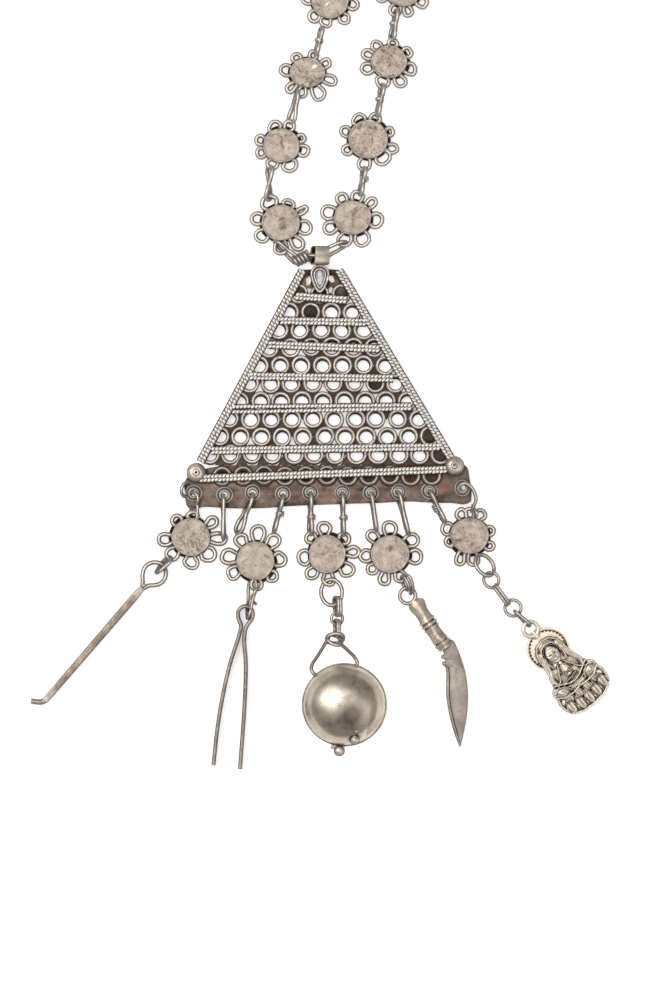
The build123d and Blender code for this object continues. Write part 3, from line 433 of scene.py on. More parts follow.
# The flowers outside the photograph: middle in millimetres and the way the chain runs there
farFlowers = [
    (-16.8, 53.8, 108), (-25.5, 74.2, 116), (-36.3, 94.0, 111), (-41.2, 115.8, 91), (-36.8, 137.8, 70),
    (-26.2, 157.7, 54), (-10.7, 174.0, 38), (9.0, 184.8, 18), (31.3, 187.3, -5), (52.8, 180.9, -26),
    (71.2, 167.9, -44), (84.7, 149.9, -63), (91.6, 128.5, -84), (89.3, 106.3, -107), (78.7, 86.4, -127),
    (62.4, 71.1, -146), (42.2, 61.5, -153), (23.3, 50.9, -143),
]
flowerLook = {"top": 3.3, "under": 2.3, "wire": 1.36, "middle": 1.95, "dents": 0.22,
              "lift": 0.9, "slip": 0.35}
# a dark disc behind each flower's disc, wider so that its rim shows as painted shadow, and the pad under it:
# share of the disc, top, underside and dents
shadowAndPadLook = {"back": (1.12, 2.35, 1.55, 0.1), "pad": (0.62, 1.7, 0.0, 0.05)}


def discBlank():
    # a round blank with rings of faces on top, to be hammered
    blank = drum(52, 1, 1)
    pickFaces(blank)
    for width in (0.02, 0.025, 0.025, 0.03, 0.03, 0.08, 0.1, 0.12, 0.13, 0.14, 0.12):
        bpy.ops.mesh.inset(thickness=width)
    bpy.ops.mesh.poke()
    return leaveEdit()


blank = discBlank()


def hammered(middle, across, along, top, under, dents, seed):
    # one disc, in metres, from its middle and its half widths in millimetres
    disc = copied(blank)
    for vert in disc.data.vertices:
        x, y, z = vert.co
        reach = hypot(x, y)
        turn = atan2(y, x)
        ragged = 1 + 0.045 * noise.noise(Vector((cos(turn) * 1.7, sin(turn) * 1.7, seed)))
        flatX = x * across * ragged
        flatY = y * along * ragged
        if z > 0:
            dent = dents * (noise.noise(Vector((flatX * 0.32, flatY * 0.32, seed))) * 0.7
                            + noise.noise(Vector((flatX * 0.9, flatY * 0.9, seed + 9))) * 0.3)
            lip = 0.13 * exp(-((reach - 0.955) / 0.03) ** 2) - 0.1 * exp(-((reach - 0.88) / 0.03) ** 2)
            level = top - 0.12 - 0.3 * reach ** 30 + dent * (1 - reach ** 6) + lip
        else:
            level = under
        vert.co = (middle.x + flatX / 1000, middle.y + flatY / 1000, level / 1000)
    return disc


def petalRun(middle, direction, tip, width, root, wire, lift=0.0):
    # one petal: a loop of wire out from under the disc and back
    ray = flatRay(direction)
    side = leftOf(ray)
    half = width / 2 - wire / 2
    far = tip - wire / 2
    hub = max(far - half * 1.02, root + 0.4)
    lean = chance.uniform(-0.2, 0.2)
    rise = chance.uniform(-0.12, 0.2) + lift
    places = [(root * 0.8, -half * 0.35, 0.0), ((root + hub) / 2 - 0.2, -half * 0.82, 0.3), (hub, -half, 0.6),
              ((far + hub) / 2 + half * 0.22, -half * 0.72, 0.9), (far, 0.0, 1.0),
              ((far + hub) / 2 + half * 0.22, half * 0.72, 0.9), (hub, half, 0.6),
              ((root + hub) / 2 - 0.2, half * 0.82, 0.3), (root * 0.8, half * 0.35, 0.0)]
    points = []
    for out, across, share in places:
        out += chance.uniform(-0.16, 0.16)
        across += chance.uniform(-0.14, 0.14) + lean * out * 0.4
        spot = ray * out + side * across
        points.append(middle + (spot + Vector((0, 0, flowerLook["middle"] + rise * share))) / 1000)
    return points, wire, False


def flowerPieces(spot, widths, petals, seed, lifted=None):
    # a flower's disc, a dark disc behind it whose rim is a painted shadow, pad and petals, as loose parts to be
    # joined
    middle = Vector((spot.x, spot.y, 0))
    across = widths[0] * photo["pixel"] / 2
    along = widths[1] * photo["pixel"] / 2
    front = hammered(middle, across, along, flowerLook["top"], flowerLook["under"], flowerLook["dents"], seed)
    slip = Vector((chance.uniform(-flowerLook["slip"], flowerLook["slip"]),
                   chance.uniform(-flowerLook["slip"], flowerLook["slip"]), 0)) / 1000
    # the wider dark disc behind, whose showing rim is a painted shadow
    share, top, under, dents = shadowAndPadLook["back"]
    back = hammered(middle + slip, across * share, along * share, top, under, dents, seed + 3)
    share, top, under, dents = shadowAndPadLook["pad"]
    pad = hammered(middle, across * share, along * share, top, under, dents, seed + 5)
    plates = [dressed(front, discSilver), dressed(back, solderAndShadeBrown), dressed(pad, solderAndShadeBrown)]
    root = min(across, along)
    runs = [petalRun(middle, direction, tip * photo["pixel"], width * photo["pixel"], root,
                     flowerLook["wire"] * chance.uniform(0.92, 1.06),
                     flowerLook["lift"] if direction == lifted else 0.0) for direction, tip, width in petals]
    return plates, runs


def loopRun(start, end, height, wire, turnStart=0.0, turnEnd=0.0, waist=1.0):
    # a long loop of wire between two places; its turns tip it from standing towards lying
    axis = end - start
    ray = axis.normalized()
    side = leftOf(ray).normalized()
    radius = (height - wire) / 2000
    shape = [(0.0, 0.0), (0.07, 0.78), (0.24, 1.0), (0.5, waist), (0.76, 1.0), (0.93, 0.78), (1.0, 0.0)]
    path = [(share, out) for share, out in shape] + [(share, -out) for share, out in reversed(shape[1:-1])]
    points = []
    for share, out in path:
        turn = radians(turnStart + (turnEnd - turnStart) * share)
        lie = Vector((0, 0, 1)) * cos(turn) + side * sin(turn)
        points.append(start + axis * share + lie * (out * radius))
    return points, wire, True


def collarRun(middle, ray, radius, wire, turns=2.0, pitch=0.95):
    # turns of wire wound round a link
    side = leftOf(ray).normalized()
    up = Vector((0, 0, 1))
    count = int(turns * 8) + 1
    points = []
    for index in range(count):
        turn = index / 8 * 2 * pi
        along = (index / 8 - turns / 2) * wire * pitch
        points.append(middle + (ray * along + side * (cos(turn) * radius) + up * (sin(turn) * radius)) / 1000)
    return points, wire, False


def ringRun(middle, across, along, direction=0.0, roll=0.0, wire=1.1, pitch=0.0):
    # a round or oval ring lying flat, then rolled about its long way
    ray = flatRay(direction)
    side = leftOf(ray)
    tipped = side * cos(radians(roll)) + Vector((0, 0, 1)) * sin(radians(roll))
    raised = ray * cos(radians(pitch)) + Vector((0, 0, 1)) * sin(radians(pitch))
    points = []
    for index in range(12):
        turn = index * pi / 6
        spot = raised * (cos(turn) * (along - wire) / 2) + tipped * (sin(turn) * (across - wire) / 2)
        points.append(middle + spot / 1000)
    return points, wire, True


# The links between the chain's flowers: ends, turns at the ends, waist and a wound collar's place
chainLinks = {
    "left": [
        {"ends": ((270, 166.6), (268.2, 199.8)), "turns": (55, -50), "waist": 0.5, "collar": None},
        {"ends": ((298, 91), (290.7, 122.8)), "turns": (10, 60), "waist": 0.7, "collar": None},
        {"ends": ((322, 27.4), (315.9, 54.4)), "turns": (20, 15), "waist": 0.6, "collar": (318.8, 40.6)},
    ],
    "right": [
        {"ends": ((364.4, 167.9), (360.3, 194.7)), "turns": (25, 20), "waist": 0.5, "collar": (364.4, 179)},
        {"ends": ((382.7, 84.7), (377.4, 115.8)), "turns": (30, 15), "waist": 0.5, "collar": (379.4, 99.5)},
        {"ends": ((396.8, 10), (391.8, 39.8)), "turns": (20, 35), "waist": 0.6, "collar": (393.4, 24)},
    ],
}
linkLook = {"height": 3.9, "wire": 1.4, "middle": 1.95, "reach": 7.0}


def strandPiece(name, seenFlowers, links, far):
    # one strand: its flowers in the photograph, its far flowers and the links between
    parts = []
    runs = []
    for order, key in enumerate(seenFlowers):
        entry = flowers[key]
        plates, petals = flowerPieces(at(*entry["at"]), entry["disc"], entry["petals"],
                                      seed=order * 7.3 + len(name))
        parts += plates
        runs += petals
    for order, (x, y, turn) in enumerate(far):
        petals = [(turn + step * 45 + chance.uniform(-4, 4) * (step % 4 > 0), 30 + chance.uniform(-1.5, 1.5),
                   15 + chance.uniform(-1.5, 1.5)) for step in range(8)]
        plates, loops = flowerPieces(Vector((x, y, 0)) / 1000, (37, 34), petals, seed=order * 3.1 + 40)
        parts += plates
        runs += loops
    for link in links:
        start = at(*link["ends"][0], linkLook["middle"])
        end = at(*link["ends"][1], linkLook["middle"])
        runs.append(loopRun(start, end, linkLook["height"], linkLook["wire"] * 0.95,
                            *link["turns"], link["waist"]))
        if link["collar"]:
            ray = (end - start).normalized()
            runs.append(collarRun(at(*link["collar"], linkLook["middle"]), ray, 0.75, 1.35,
                                  turns=1.15, pitch=0.5))
    return parts, runs


def linkEnd(flower, reach):
    # a link's end on one side of a far flower
    x, y, turn = flower
    return Vector((x + reach * cos(radians(turn)), y + reach * sin(radians(turn)), linkLook["middle"])) / 1000


def farLink(first, last):
    # the loop between two far flowers, through the petals that face each other
    return loopRun(linkEnd(first, linkLook["reach"]), linkEnd(last, -linkLook["reach"]), linkLook["height"],
                   linkLook["wire"] * 0.95, chance.uniform(5, 40), chance.uniform(5, 40), 0.6)


# the last flower of each strand in the photograph, as the far flowers are given
fourth = {"left": (-12.3, 33.4, 87), "right": (9.6, 37.0, -117)}
leftFar = farFlowers[:9]
rightFar = farFlowers[9:]
leftParts, leftRuns = strandPiece("chain_left", ("l1", "l2", "l3", "l4"), chainLinks["left"], leftFar)
rightParts, rightRuns = strandPiece("chain_right", ("r1", "r2", "r3", "r4"), chainLinks["right"], rightFar)
for first, last in zip([fourth["left"]] + leftFar, leftFar + [rightFar[0]]):
    leftRuns.append(farLink(first, last))
for first, last in zip(rightFar, rightFar[1:] + [fourth["right"]]):
    rightRuns.append(farLink(first, last))
for name, parts, runs in (("chain_left", leftParts, leftRuns), ("chain_right", rightParts, rightRuns)):
    wires = dressed(bentWires(runs, steps=3, sides=8), wireSilver)
    settled(joined([wires] + parts), name + "_flowers", (name,), smooth=50)
print("chain made")

# The drop flowers and their hooks, each hook from its hole in the strip to its petal
dropHooks = {
    "1b": {"ends": ((223.1, 495.4), (223.6, 539)), "turns": (12, -8), "waist": 0.9, "collar": None},
    "2a": {"ends": ((252.6, 494.2), (237.3, 533)), "turns": (15, 60), "waist": 0.5, "collar": None},
    "2b": {"ends": ((283.3, 495.4), (273.9, 532)), "turns": (10, 10), "waist": 0.45,
           "collar": (279.8, 513.8)},
    "3a": {"ends": ((310.5, 493), (310.5, 534.3)), "turns": (10, 25), "waist": 0.45,
           "collar": (311.2, 517.3)},
    "3b": {"ends": ((342.3, 493), (343.5, 535)), "turns": (10, 10), "waist": 0.45, "collar": (343.4, 517.8)},
    "4a": {"ends": ((371.1, 493), (376.5, 530.8)), "turns": (8, 6), "waist": 0.9, "collar": None},
    "4b": {"ends": ((397.8, 491.9), (408.4, 534.3)), "turns": (22, 5), "waist": 0.6, "collar": None},
    "5a": {"ends": ((429.6, 490.7), (444.9, 522.5)), "turns": (8, 14), "waist": 0.6,
           "collar": (436.2, 508.5)},
}
for key, hook in dropHooks.items():
    start = at(*hook["ends"][0], linkLook["middle"])
    end = at(*hook["ends"][1], linkLook["middle"])
    runs = [loopRun(start, end, linkLook["height"], 1.34, *hook["turns"], hook["waist"])]
    if hook["collar"]:
        ray = (end - start).normalized()
        thick = 0.85 if key == "5a" else 1.3
        runs.append(collarRun(at(*hook["collar"], linkLook["middle"]), ray, 0.75, thick,
                              turns=3.4 if key == "5a" else 1.15, pitch=0.9 if key == "5a" else 0.5))
    wirePiece("hook_" + key + "_wire", "hook_" + key, runs)
curled = [
    ringRun(at(186.8, 489.5, 2.4), 4.9, 5.5, direction=75, roll=35, wire=1.15),
    ringRun(at(193.2, 498.5, 2.0), 4.4, 4.8, direction=100, roll=-30, wire=1.1),
    loopRun(at(194.5, 504, 1.9), at(193.5, 521, 1.7), 3.2, 1.1, 70, 60),
]
wirePiece("hook_1a_wire", "hook_1a", curled, steps=4)
swept = [
    ([at(463.5, 492.5, 2.2), at(459.6, 488.0, 2.9), at(463.0, 483.6, 3.4), at(469.6, 485.8, 3.5),
      at(474.4, 493.0, 3.4), at(475.8, 500.4, 3.2), at(473.4, 506.4, 2.8), at(471.4, 512.6, 1.7)], 1.1, False),
    ([at(472.2, 505.0, 1.6), at(474.6, 509.4, 2.9), at(476.8, 514.6, 3.3), at(474.8, 517.0, 2.2)], 0.95, False),
]
wirePiece("hook_5b_wire", "hook_5b", swept)
for order, key in enumerate(("d1", "d2", "d3", "d4", "d5")):
    entry = flowers[key]
    plates, runs = flowerPieces(at(*entry["at"]), entry["disc"], entry["petals"], seed=order * 11.7 + 90,
                                lifted={"d3": -88, "d5": -80}.get(key))
    wires = dressed(bentWires(runs, steps=5, sides=10), wireSilver)
    name = "drop_flower_" + str(order + 1)
    settled(joined([wires] + plates), name + "_petals", (name,))
print("drop flowers made")

# The pierced pendant: rows of rings, bars and ropes of beaded wire
panel = {"pitchU": 20.95, "pitchV": 17.85, "firstV": 293.9, "middleU": 320.1, "driftU": 0.536, "ring": 5.95,
         "wire": 0.98, "ringLevel": 2.1, "rowSizes": (3, 4, 5, 6, 7, 8, 9, 10, 11, 12, 11)}
ringRows = []
for row, count in enumerate(panel["rowSizes"]):
    middleU = panel["middleU"] + panel["driftU"] * row
    v = panel["firstV"] + panel["pitchV"] * row
    if row == 10:
        middleU += 1.5
        v += 3.6
    ringRows.append([(middleU + (index - (count - 1) / 2) * panel["pitchU"], v) for index in range(count)])
ringBlank = started(bpy.ops.mesh.primitive_torus_add, major_segments=28, minor_segments=10,
                    major_radius=1, minor_radius=0.23)
rings = []
shades = []
for places in ringRows[:-1]:
    for u, v in places:
        radius = (panel["ring"] - panel["wire"]) / 2 * chance.uniform(0.96, 1.03) / 1000
        spot = at(u + chance.uniform(-0.7, 0.7), v + chance.uniform(-0.6, 0.6), panel["ringLevel"])
        grow = Matrix.Diagonal((radius * chance.uniform(0.97, 1.04), radius * chance.uniform(0.97, 1.04),
                                0.0034 * chance.uniform(0.9, 1.05), 1))
        tilt = Matrix.Rotation(chance.uniform(0, 6), 4, "Z")
        tilt = tilt @ Matrix.Rotation(radians(chance.uniform(-4, 4)), 4, "X")
        rings.append(copied(ringBlank, Matrix.Translation(spot) @ tilt @ grow))
        low = Matrix.Translation(spot - Vector((chance.uniform(-0.1, 0.1), 0.42, 0.45)) / 1000)
        shades.append(copied(ringBlank, low @ tilt @ grow @ Matrix.Diagonal((0.95, 0.95, 0.8, 1))))
bpy.data.objects.remove(ringBlank)
settled(dressed(joined(rings), ringSilver), "pendant_rings", ("pendant",))
settled(dressed(joined(shades), solderAndShadeBrown), "pendant_ring_shades")

# dark brown plates set lower between the rings, some gaps left open, and dark disks under a few rings
webs = []
webLook = {"radius": 0.00215, "thick": 0.0006, "level": 1.75}
webBlank = drum(3, webLook["radius"], webLook["thick"])
webTurn = atan2(webBlank.data.vertices[0].co.y, webBlank.data.vertices[0].co.x)
openShare = (0, 0, 0.05, 0.05, 0.2, 0.4, 0.45, 0.4, 0.15, 0.0)
for row in range(len(ringRows) - 1):
    upper = ringRows[row]
    lower = ringRows[row + 1]
    if len(lower) > len(upper):
        triples = [((upper[index], lower[index], lower[index + 1]), -90) for index in range(len(upper))]
        triples += [((upper[index], upper[index + 1], lower[index + 1]),
                     90) for index in range(len(upper) - 1)]
    else:
        triples = [((upper[index], upper[index + 1], lower[index]), 90) for index in range(len(lower))]
        triples += [((lower[index], lower[index + 1], upper[index + 1]),
                     -90) for index in range(len(lower) - 1)]
    for corners, heading in triples:
        u = sum(corner[0] for corner in corners) / 3
        v = sum(corner[1] for corner in corners) / 3
        edgeOn = abs(u - panel["middleU"]) > 0.8 * abs(upper[-1][0] - panel["middleU"])
        if chance.random() < openShare[row] and not edgeOn:
            continue
        turn = Matrix.Rotation(radians(heading) - webTurn, 4, "Z")
        level = webLook["level"] + chance.uniform(-0.1, 0.1)
        webs.append(copied(webBlank, Matrix.Translation(at(u, v, level)) @ turn))
bpy.data.objects.remove(webBlank)
darkLook = {"radius": 0.0024, "thick": 0.0006, "top": ((0.0008, 0.00035), (0.0008, 0.00015))}
darkRings = [(ringRows[8][-1], 2.05), (ringRows[9][-1], 2.05), (ringRows[8][-1], 2.0), (ringRows[1][1], 1.75),
             (ringRows[5][-2], 1.9)]
for place, level in darkRings:
    disk = drum(32, darkLook["radius"], darkLook["thick"], location=at(*place, level))
    webs.append(steppedTop(disk, darkLook["top"]))
    applyPlace()
settled(dressed(joined(webs), solderAndShadeBrown), "pendant_dark_webs")

# Bars and ropes: the ends of each in the photograph
crossBars = [
    ((296.0, 296.2), (346.8, 300.2)), ((280.4, 320.8), (366.2, 322.4)), ((268.6, 344.6), (379.6, 348.9)),
    ((249.8, 376.2), (393.2, 378.4)), ((232.4, 408.6), (411.4, 406.8)), ((211.4, 450.6), (440.0, 446.8)),
    ((199.8, 478.6), (447.0, 469.4)),
]
sideRopes = [((302.8, 270.2), (200.6, 462.0)), ((338.8, 270.2), (452.6, 461.5))]
beadLook = {"pitch": 1.12, "wire": 1.14, "level": 3.05, "apart": 1.08, "blank": 0.58,
            "long": 1.08, "bed": 2.5}
beadBlank = drum(9, beadLook["blank"], beadLook["long"], rotation=(0, pi / 2, 0))
applyPlace()
pickFaces(beadBlank, lambda face: abs(face.normal.x) > 0.9)
bpy.ops.mesh.bevel(offset=0.3, segments=2, affect="EDGES")
leaveEdit()
beads = []
cores = []
beds = []


def beadedWire(start, end, thick):
    # one run of beads between two places, the same bead over and over
    length = (end - start).length * 1000
    count = max(2, round(length / beadLook["pitch"]))
    step = length / count
    run = copied(beadBlank)
    chosen(run)
    repeat = run.modifiers.new("beads", "ARRAY")
    repeat.count = count
    repeat.use_relative_offset = False
    repeat.use_constant_offset = True
    repeat.constant_offset_displace = (step, 0, 0)
    bpy.ops.object.modifier_apply(modifier="beads")
    perBead = len(run.data.vertices) // count
    ray = (end - start).normalized()
    side = leftOf(ray)
    for bead in range(count):
        grow = thick / (2 * beadLook["blank"]) * chance.uniform(0.92, 1.05)
        nudge = side * chance.uniform(-0.06, 0.06)
        slant = chance.uniform(0.2, 0.45)
        for vert in run.data.vertices[bead * perBead:(bead + 1) * perBead]:
            along = vert.co.x + step / 2 + slant * vert.co.y
            spot = ray * along + side * (vert.co.y * grow) + nudge
            vert.co = start + (spot + Vector((0, 0, vert.co.z * grow))) / 1000
    beads.append(run)
    cores.append(([start, start.lerp(end, 0.5), end], thick * 0.62, False))


for rank, (first, last) in enumerate(crossBars + sideRopes):
    start = at(*first, beadLook["level"])
    end = at(*last, beadLook["level"])
    ray = (end - start).normalized()
    side = leftOf(ray) * (beadLook["apart"] / 2000)
    splay = Vector((0, 0, 0))
    if rank == 4:
        splay = side * 0.9
    beadedWire(start + side, end + side, beadLook["wire"])
    beadedWire(start - side - splay, end - side, beadLook["wire"])
    wide = side * beadLook["bed"]
    corners = [start + wide, end + wide, end - wide, start - wide]
    beds.append(flatPlate([[(corner.x, corner.y) for corner in corners]], 1.5, 2.85, edge=0.05, curved=False))
settled(dressed(joined(beads), beadSilver), "pendant_beads")
settled(dressed(joined([bentWires(cores, steps=2, sides=8)] + beds), solderAndShadeBrown), "pendant_beds")
bpy.data.objects.remove(beadBlank)
print("beaded wires made")

# The strip along the foot, with its row of collared holes
strip = {"holes": [(193.7, 493), (224.3, 494.9), (252.6, 493), (283.3, 493.5), (310.5, 492.6), (342.3, 493),
                   (371.1, 492.6), (398.9, 491.9), (429.6, 490.7), (462.7, 488.3)],
         "foot": [(189, 508.2), (205, 507.0), (230, 508.4), (262, 508.2), (290, 506.2), (325, 504.8),
                  (352, 503.8), (380, 503.0), (410, 501.6), (424, 502.4), (450, 503.0), (470, 502.2)],
         "ends": [(471.5, 497), (469.5, 478), (466, 466), (457, 464), (330, 466), (196, 471),
                  (185.5, 480), (185, 494)]}
outline = [at(u, v) for u, v in strip["foot"] + strip["ends"]]
holes = []
for u, v in strip["holes"]:
    middle = at(u, v)
    holes.append([middle + Vector((cos(index * pi / 4), sin(index * pi / 4),
                                   0)) * 0.00095 for index in range(8)])
stripPlate = flatPlate([outline] + holes, 1.38, 2.18, edge=0.12)
settled(dressed(stripPlate, stripBrown), "pendant_strip")
collars = []
for u, v in strip["holes"]:
    spot = at(u + chance.uniform(-0.4, 0.4), v + chance.uniform(-0.4, 0.4), 2.25)
    collars.append(ringRun(spot, 3.5, 3.5 * chance.uniform(0.95, 1.05), roll=chance.uniform(-6, 6), wire=0.8))
    collars.append(ringRun(spot + Vector((0, 0, -0.0001)), 5.0, 5.0 * chance.uniform(0.95, 1.05), wire=0.5))
settled(dressed(bentWires(collars, steps=3, sides=8), lobeBrown), "pendant_collars", smooth=50)
scallops = []
scallopLook = {"radius": 0.0028, "thick": 0.0003, "level": 2.32, "top": ((0.00022, 0), (0.0003, -0.0002))}
for u, v in ringRows[10]:
    disk = drum(28, scallopLook["radius"], scallopLook["thick"], location=at(u, v, scallopLook["level"]))
    scallops.append(steppedTop(disk, scallopLook["top"]))
    applyPlace()
settled(dressed(joined(scallops), solderAndShadeBrown), "pendant_scallops")
arcs = [ringRun(at(u, v - (index % 3) * 0.5, 2.3), 5.7, 5.7, wire=0.9) for index,
        (u, v) in enumerate(ringRows[10])]
arcShades = [ringRun(at(u, v, 2.12), 6.5, 6.5, wire=0.7) for u, v in ringRows[10]]
arcShades += [ringRun(at(u, v, 2.2), 4.1, 4.1, wire=0.6) for u, v in ringRows[10]]
arcPiece = joined([dressed(bentWires(arcs, steps=4, sides=8), lobeBrown),
                   dressed(bentWires(arcShades, steps=4, sides=8), solderAndShadeBrown)])
settled(arcPiece, "pendant_arcs", smooth=50)
print("strip made")

# The stepped bosses at the lower corners
bossLook = {"radius": 0.0029, "tall": 0.0019, "level": 2.25, "top": ((0.0004, 0.0007), (0.0009, 0.0007))}
for rank, (u, v) in enumerate(((196.3, 472.5), (454.6, 465.8))):
    cup = drum(48, bossLook["radius"], bossLook["tall"], location=at(u, v, bossLook["level"]))
    cup = steppedTop(cup, bossLook["top"])
    applyPlace()
    coils = [ringRun(at(u, v, 3.5), 5.3, 5.3, wire=1.05)]
    if rank:
        spiral = []
        for index in range(23):
            turn = index * pi / 5
            reach = 1.75 - 0.072 * index
            spiral.append(at(u, v, 3.9 + 0.055 * index) + Vector((cos(turn), sin(turn), 0)) * (reach / 1000))
        coils.append((spiral, 0.8, False))
    else:
        coils.append(ringRun(at(u, v, 4.15), 3.7, 3.7, wire=0.95))
        coils.append(ringRun(at(u, v, 4.75), 2.1, 2.1, wire=0.85))
    boss = joined([dressed(cup, gripSilver), dressed(bentWires(coils), gripSilver)])
    settled(boss, "boss_" + ("left", "right")[rank])

# The bail of bent strap and the pear setting under it
bail = {"u": 319.8, "v": 255.6, "width": 4.6, "deep": 2.85, "tall": 2.3, "wall": 0.55,
        "level": 3.15, "roll": 22}
bailParts = []
for share, thick, finish in ((1.0, bail["wall"], gripSilver), (0.68, 0.1, solderAndShadeBrown)):
    strap = drum(44, 1, bail["width"] * (0.7 + 0.3 * share), end_fill_type="NOTHING", rotation=(0, pi / 2, 0))
    applyPlace()
    roll = Matrix.Rotation(radians(bail["roll"]), 4, "Y")
    for vert in strap.data.vertices:
        turn = atan2(vert.co.z, vert.co.y)
        square = share * (abs(cos(turn)) ** 3.2 + abs(sin(turn)) ** 3.2) ** (-1 / 3.2)
        flare = 1 - 0.07 * cos(turn)
        local = Vector((vert.co.x * flare, cos(turn) * square * bail["deep"],
                        sin(turn) * square * bail["tall"]))
        vert.co = at(bail["u"], bail["v"], bail["level"]) + roll @ local / 1000
    wall = strap.modifiers.new("wall", "SOLIDIFY")
    wall.thickness = thick / 1000
    wall.offset = -1
    bpy.ops.object.modifier_apply(modifier="wall")
    soft = strap.modifiers.new("soft", "BEVEL")
    soft.width = 0.00002 + thick * 0.0002
    soft.segments = 2
    soft.angle_limit = radians(50)
    bpy.ops.object.modifier_apply(modifier="soft")
    bailParts.append(dressed(turnOutwards(strap), finish))
settled(joined(bailParts), "bail_strap")


def pearPoints(u, v, width, length, level, count=14):
    # a pear in the photograph: round above, pointed below, from its middle, in millimetres
    half = width / 2
    top = length / 2 - half
    points = []
    for index in range(count):
        turn = pi / 2 + 2 * pi * index / count
        x = cos(turn) * half
        y = sin(turn) * half
        if y < 0:
            drop = -y / half
            x *= (1 - 0.32 * drop) * min(1, (1 - drop * drop) ** 0.5 / 0.02)
            y = -drop * (length - half)
        points.append(at(u, v, level) + Vector((x, y + top, 0)) / 1000)
    return points


setting = {"u": 319.9, "v": 278.8}
plate = flatPlate([[(spot.x, spot.y) for spot in pearPoints(setting["u"], setting["v"], 5.6, 8.3,
                                                            0)]], 1.3, 3.1, edge=0.15)
inner = flatPlate([[(spot.x, spot.y) for spot in pearPoints(setting["u"], setting["v"] - 0.3, 3.7, 5.9,
                                                            0)]], 2.4, 3.9, edge=0.1)
rims = bentWires([
    (pearPoints(setting["u"], setting["v"], 5.0, 7.7, 3.35), 0.85, True),
    (pearPoints(setting["u"], setting["v"] - 0.3, 3.35, 5.5, 4.0), 0.62, True),
], steps=6)
cup = joined([dressed(plate, ringSilver), dressed(inner, ringSilver), dressed(rims, beadSilver)])
settled(cup, "pear_setting")
gem = steppedTop(drum(14, 1, 0.6), ((0.24, 0.3), (0.2, 0.16)))
for vert in gem.data.vertices:
    reach = hypot(vert.co.x, vert.co.y)
    turn = atan2(vert.co.y, vert.co.x)
    x = cos(turn) * reach * 1.3
    y = sin(turn) * reach * 1.3
    if y < 0:
        y *= 2.4
        x *= 1 + 0.22 * y / 3.1
    vert.co = at(setting["u"], setting["v"] - 0.3, 4.05) + Vector((x, y + 0.95, vert.co.z * 0.9)) / 1000
crystal = mottled("clear_stone", 700, (0.4, 0.62), (seen(168, 170, 182), seen(238, 240, 246)),
                  {"Roughness": 0.06, "Transmission Weight": 0.25, "Coat Weight": 0.6})
settled(dressed(gem, crystal), "pear_stone", ("stone",), smooth=5)
head = [(304.5, 270.5), (337.0, 270.5), (350.0, 297.0), (292.0, 296.0)]
headGaps = [
    [(306.0, 279.0), (309.6, 275.8), (311.2, 280.5), (309.6, 285.0), (306.6, 285.6)],
    [(329.2, 275.6), (332.8, 276.0), (334.6, 281.0), (331.6, 283.0), (328.9, 280.0)],
    [(303.0, 291.0), (307.0, 288.2), (312.4, 289.0), (313.6, 292.4), (308.0, 293.6)],
    [(327.8, 290.4), (330.8, 286.6), (333.8, 289.6), (333.0, 293.0), (329.2, 293.4)],
]
headPlate = flatPlate([[at(u, v) for u, v in outline] for outline in [head] + headGaps], 1.35, 2.3,
                      edge=0.1, curved=False)
settled(dressed(headPlate, stripBrown), "pendant_head")
topBar = bentWires([([at(300.5, 272.6, 2.1), at(320, 271.5, 2.1), at(343.5, 272.6, 2.1)], 1.5, False)])
settled(dressed(topBar, solderAndShadeBrown), "pendant_top_bar")
print("pendant made")

# The wound link through the bail
linkEnds = bentWires([
    loopRun(at(274.6, 241.2, 1.95), at(299.0, 262.6, 2.2), 3.6, 1.15, 20, 62, 0.8),
    loopRun(at(317.5, 256.8, 2.3), at(346.6, 242.6, 1.95), 3.9, 1.15, 66, 30, 1.0),
    ([at(296.0, 259.6, 2.3), at(307.0, 255.8, 2.4), at(318.0, 255.6, 2.5)], 1.3, False),
    collarRun(at(301.8, 258.4, 2.3), Vector((0.9, 0.42, 0)).normalized(), 1.35, 1.15, turns=4.2, pitch=0.98),
], steps=5)
settled(dressed(linkEnds, wireSilver), "bail_link_wire", ("bail_link",))

# Drop one: a wound ring and the ear scoop
scoop = {"eye": [(143.4, 587.6), (142.7, 580.6), (142.6, 574.0), (144.7, 567.6), (149.4, 563.5),
                 (155.0, 562.3), (160.8, 563.8), (164.8, 568.4), (165.9, 574.2), (164.0, 580.0),
                 (159.4, 584.0), (154.0, 585.2), (149.0, 585.6), (145.4, 587.4)],
         "stem": [(142.2, 587.8), (44.9, 700.8)]}
wound = [ringRun(at(163.4 + step * 2.1, 565.0 - step * 2.4, 1.95), 4.2, 5.6, direction=-134,
                 roll=62 - 8 * step, wire=1.05) for step in (-1, 0, 1)]
wirePiece("scoop_coil_wires", "scoop_coil_ring", wound, steps=4)
eye = bentWires([([at(u, v, 1.95) for u, v in scoop["eye"]], 1.32, True),
                 ([at(142.6, 588.2, 1.7), at(144.0, 585.4, 2.5), at(146.4, 586.8, 1.8)],
                  1.05, False)], steps=6)
stem = started(bpy.ops.mesh.primitive_cube_add, size=1)
bpy.ops.object.mode_set(mode="EDIT")
bpy.ops.mesh.select_all(action="SELECT")
bpy.ops.mesh.subdivide(number_cuts=11)
stem = leaveEdit()
stemStart = at(*scoop["stem"][0], 0)
stemEnd = at(*scoop["stem"][1], 0)
stemRay = (stemEnd - stemStart).normalized()
stemSide = leftOf(stemRay)
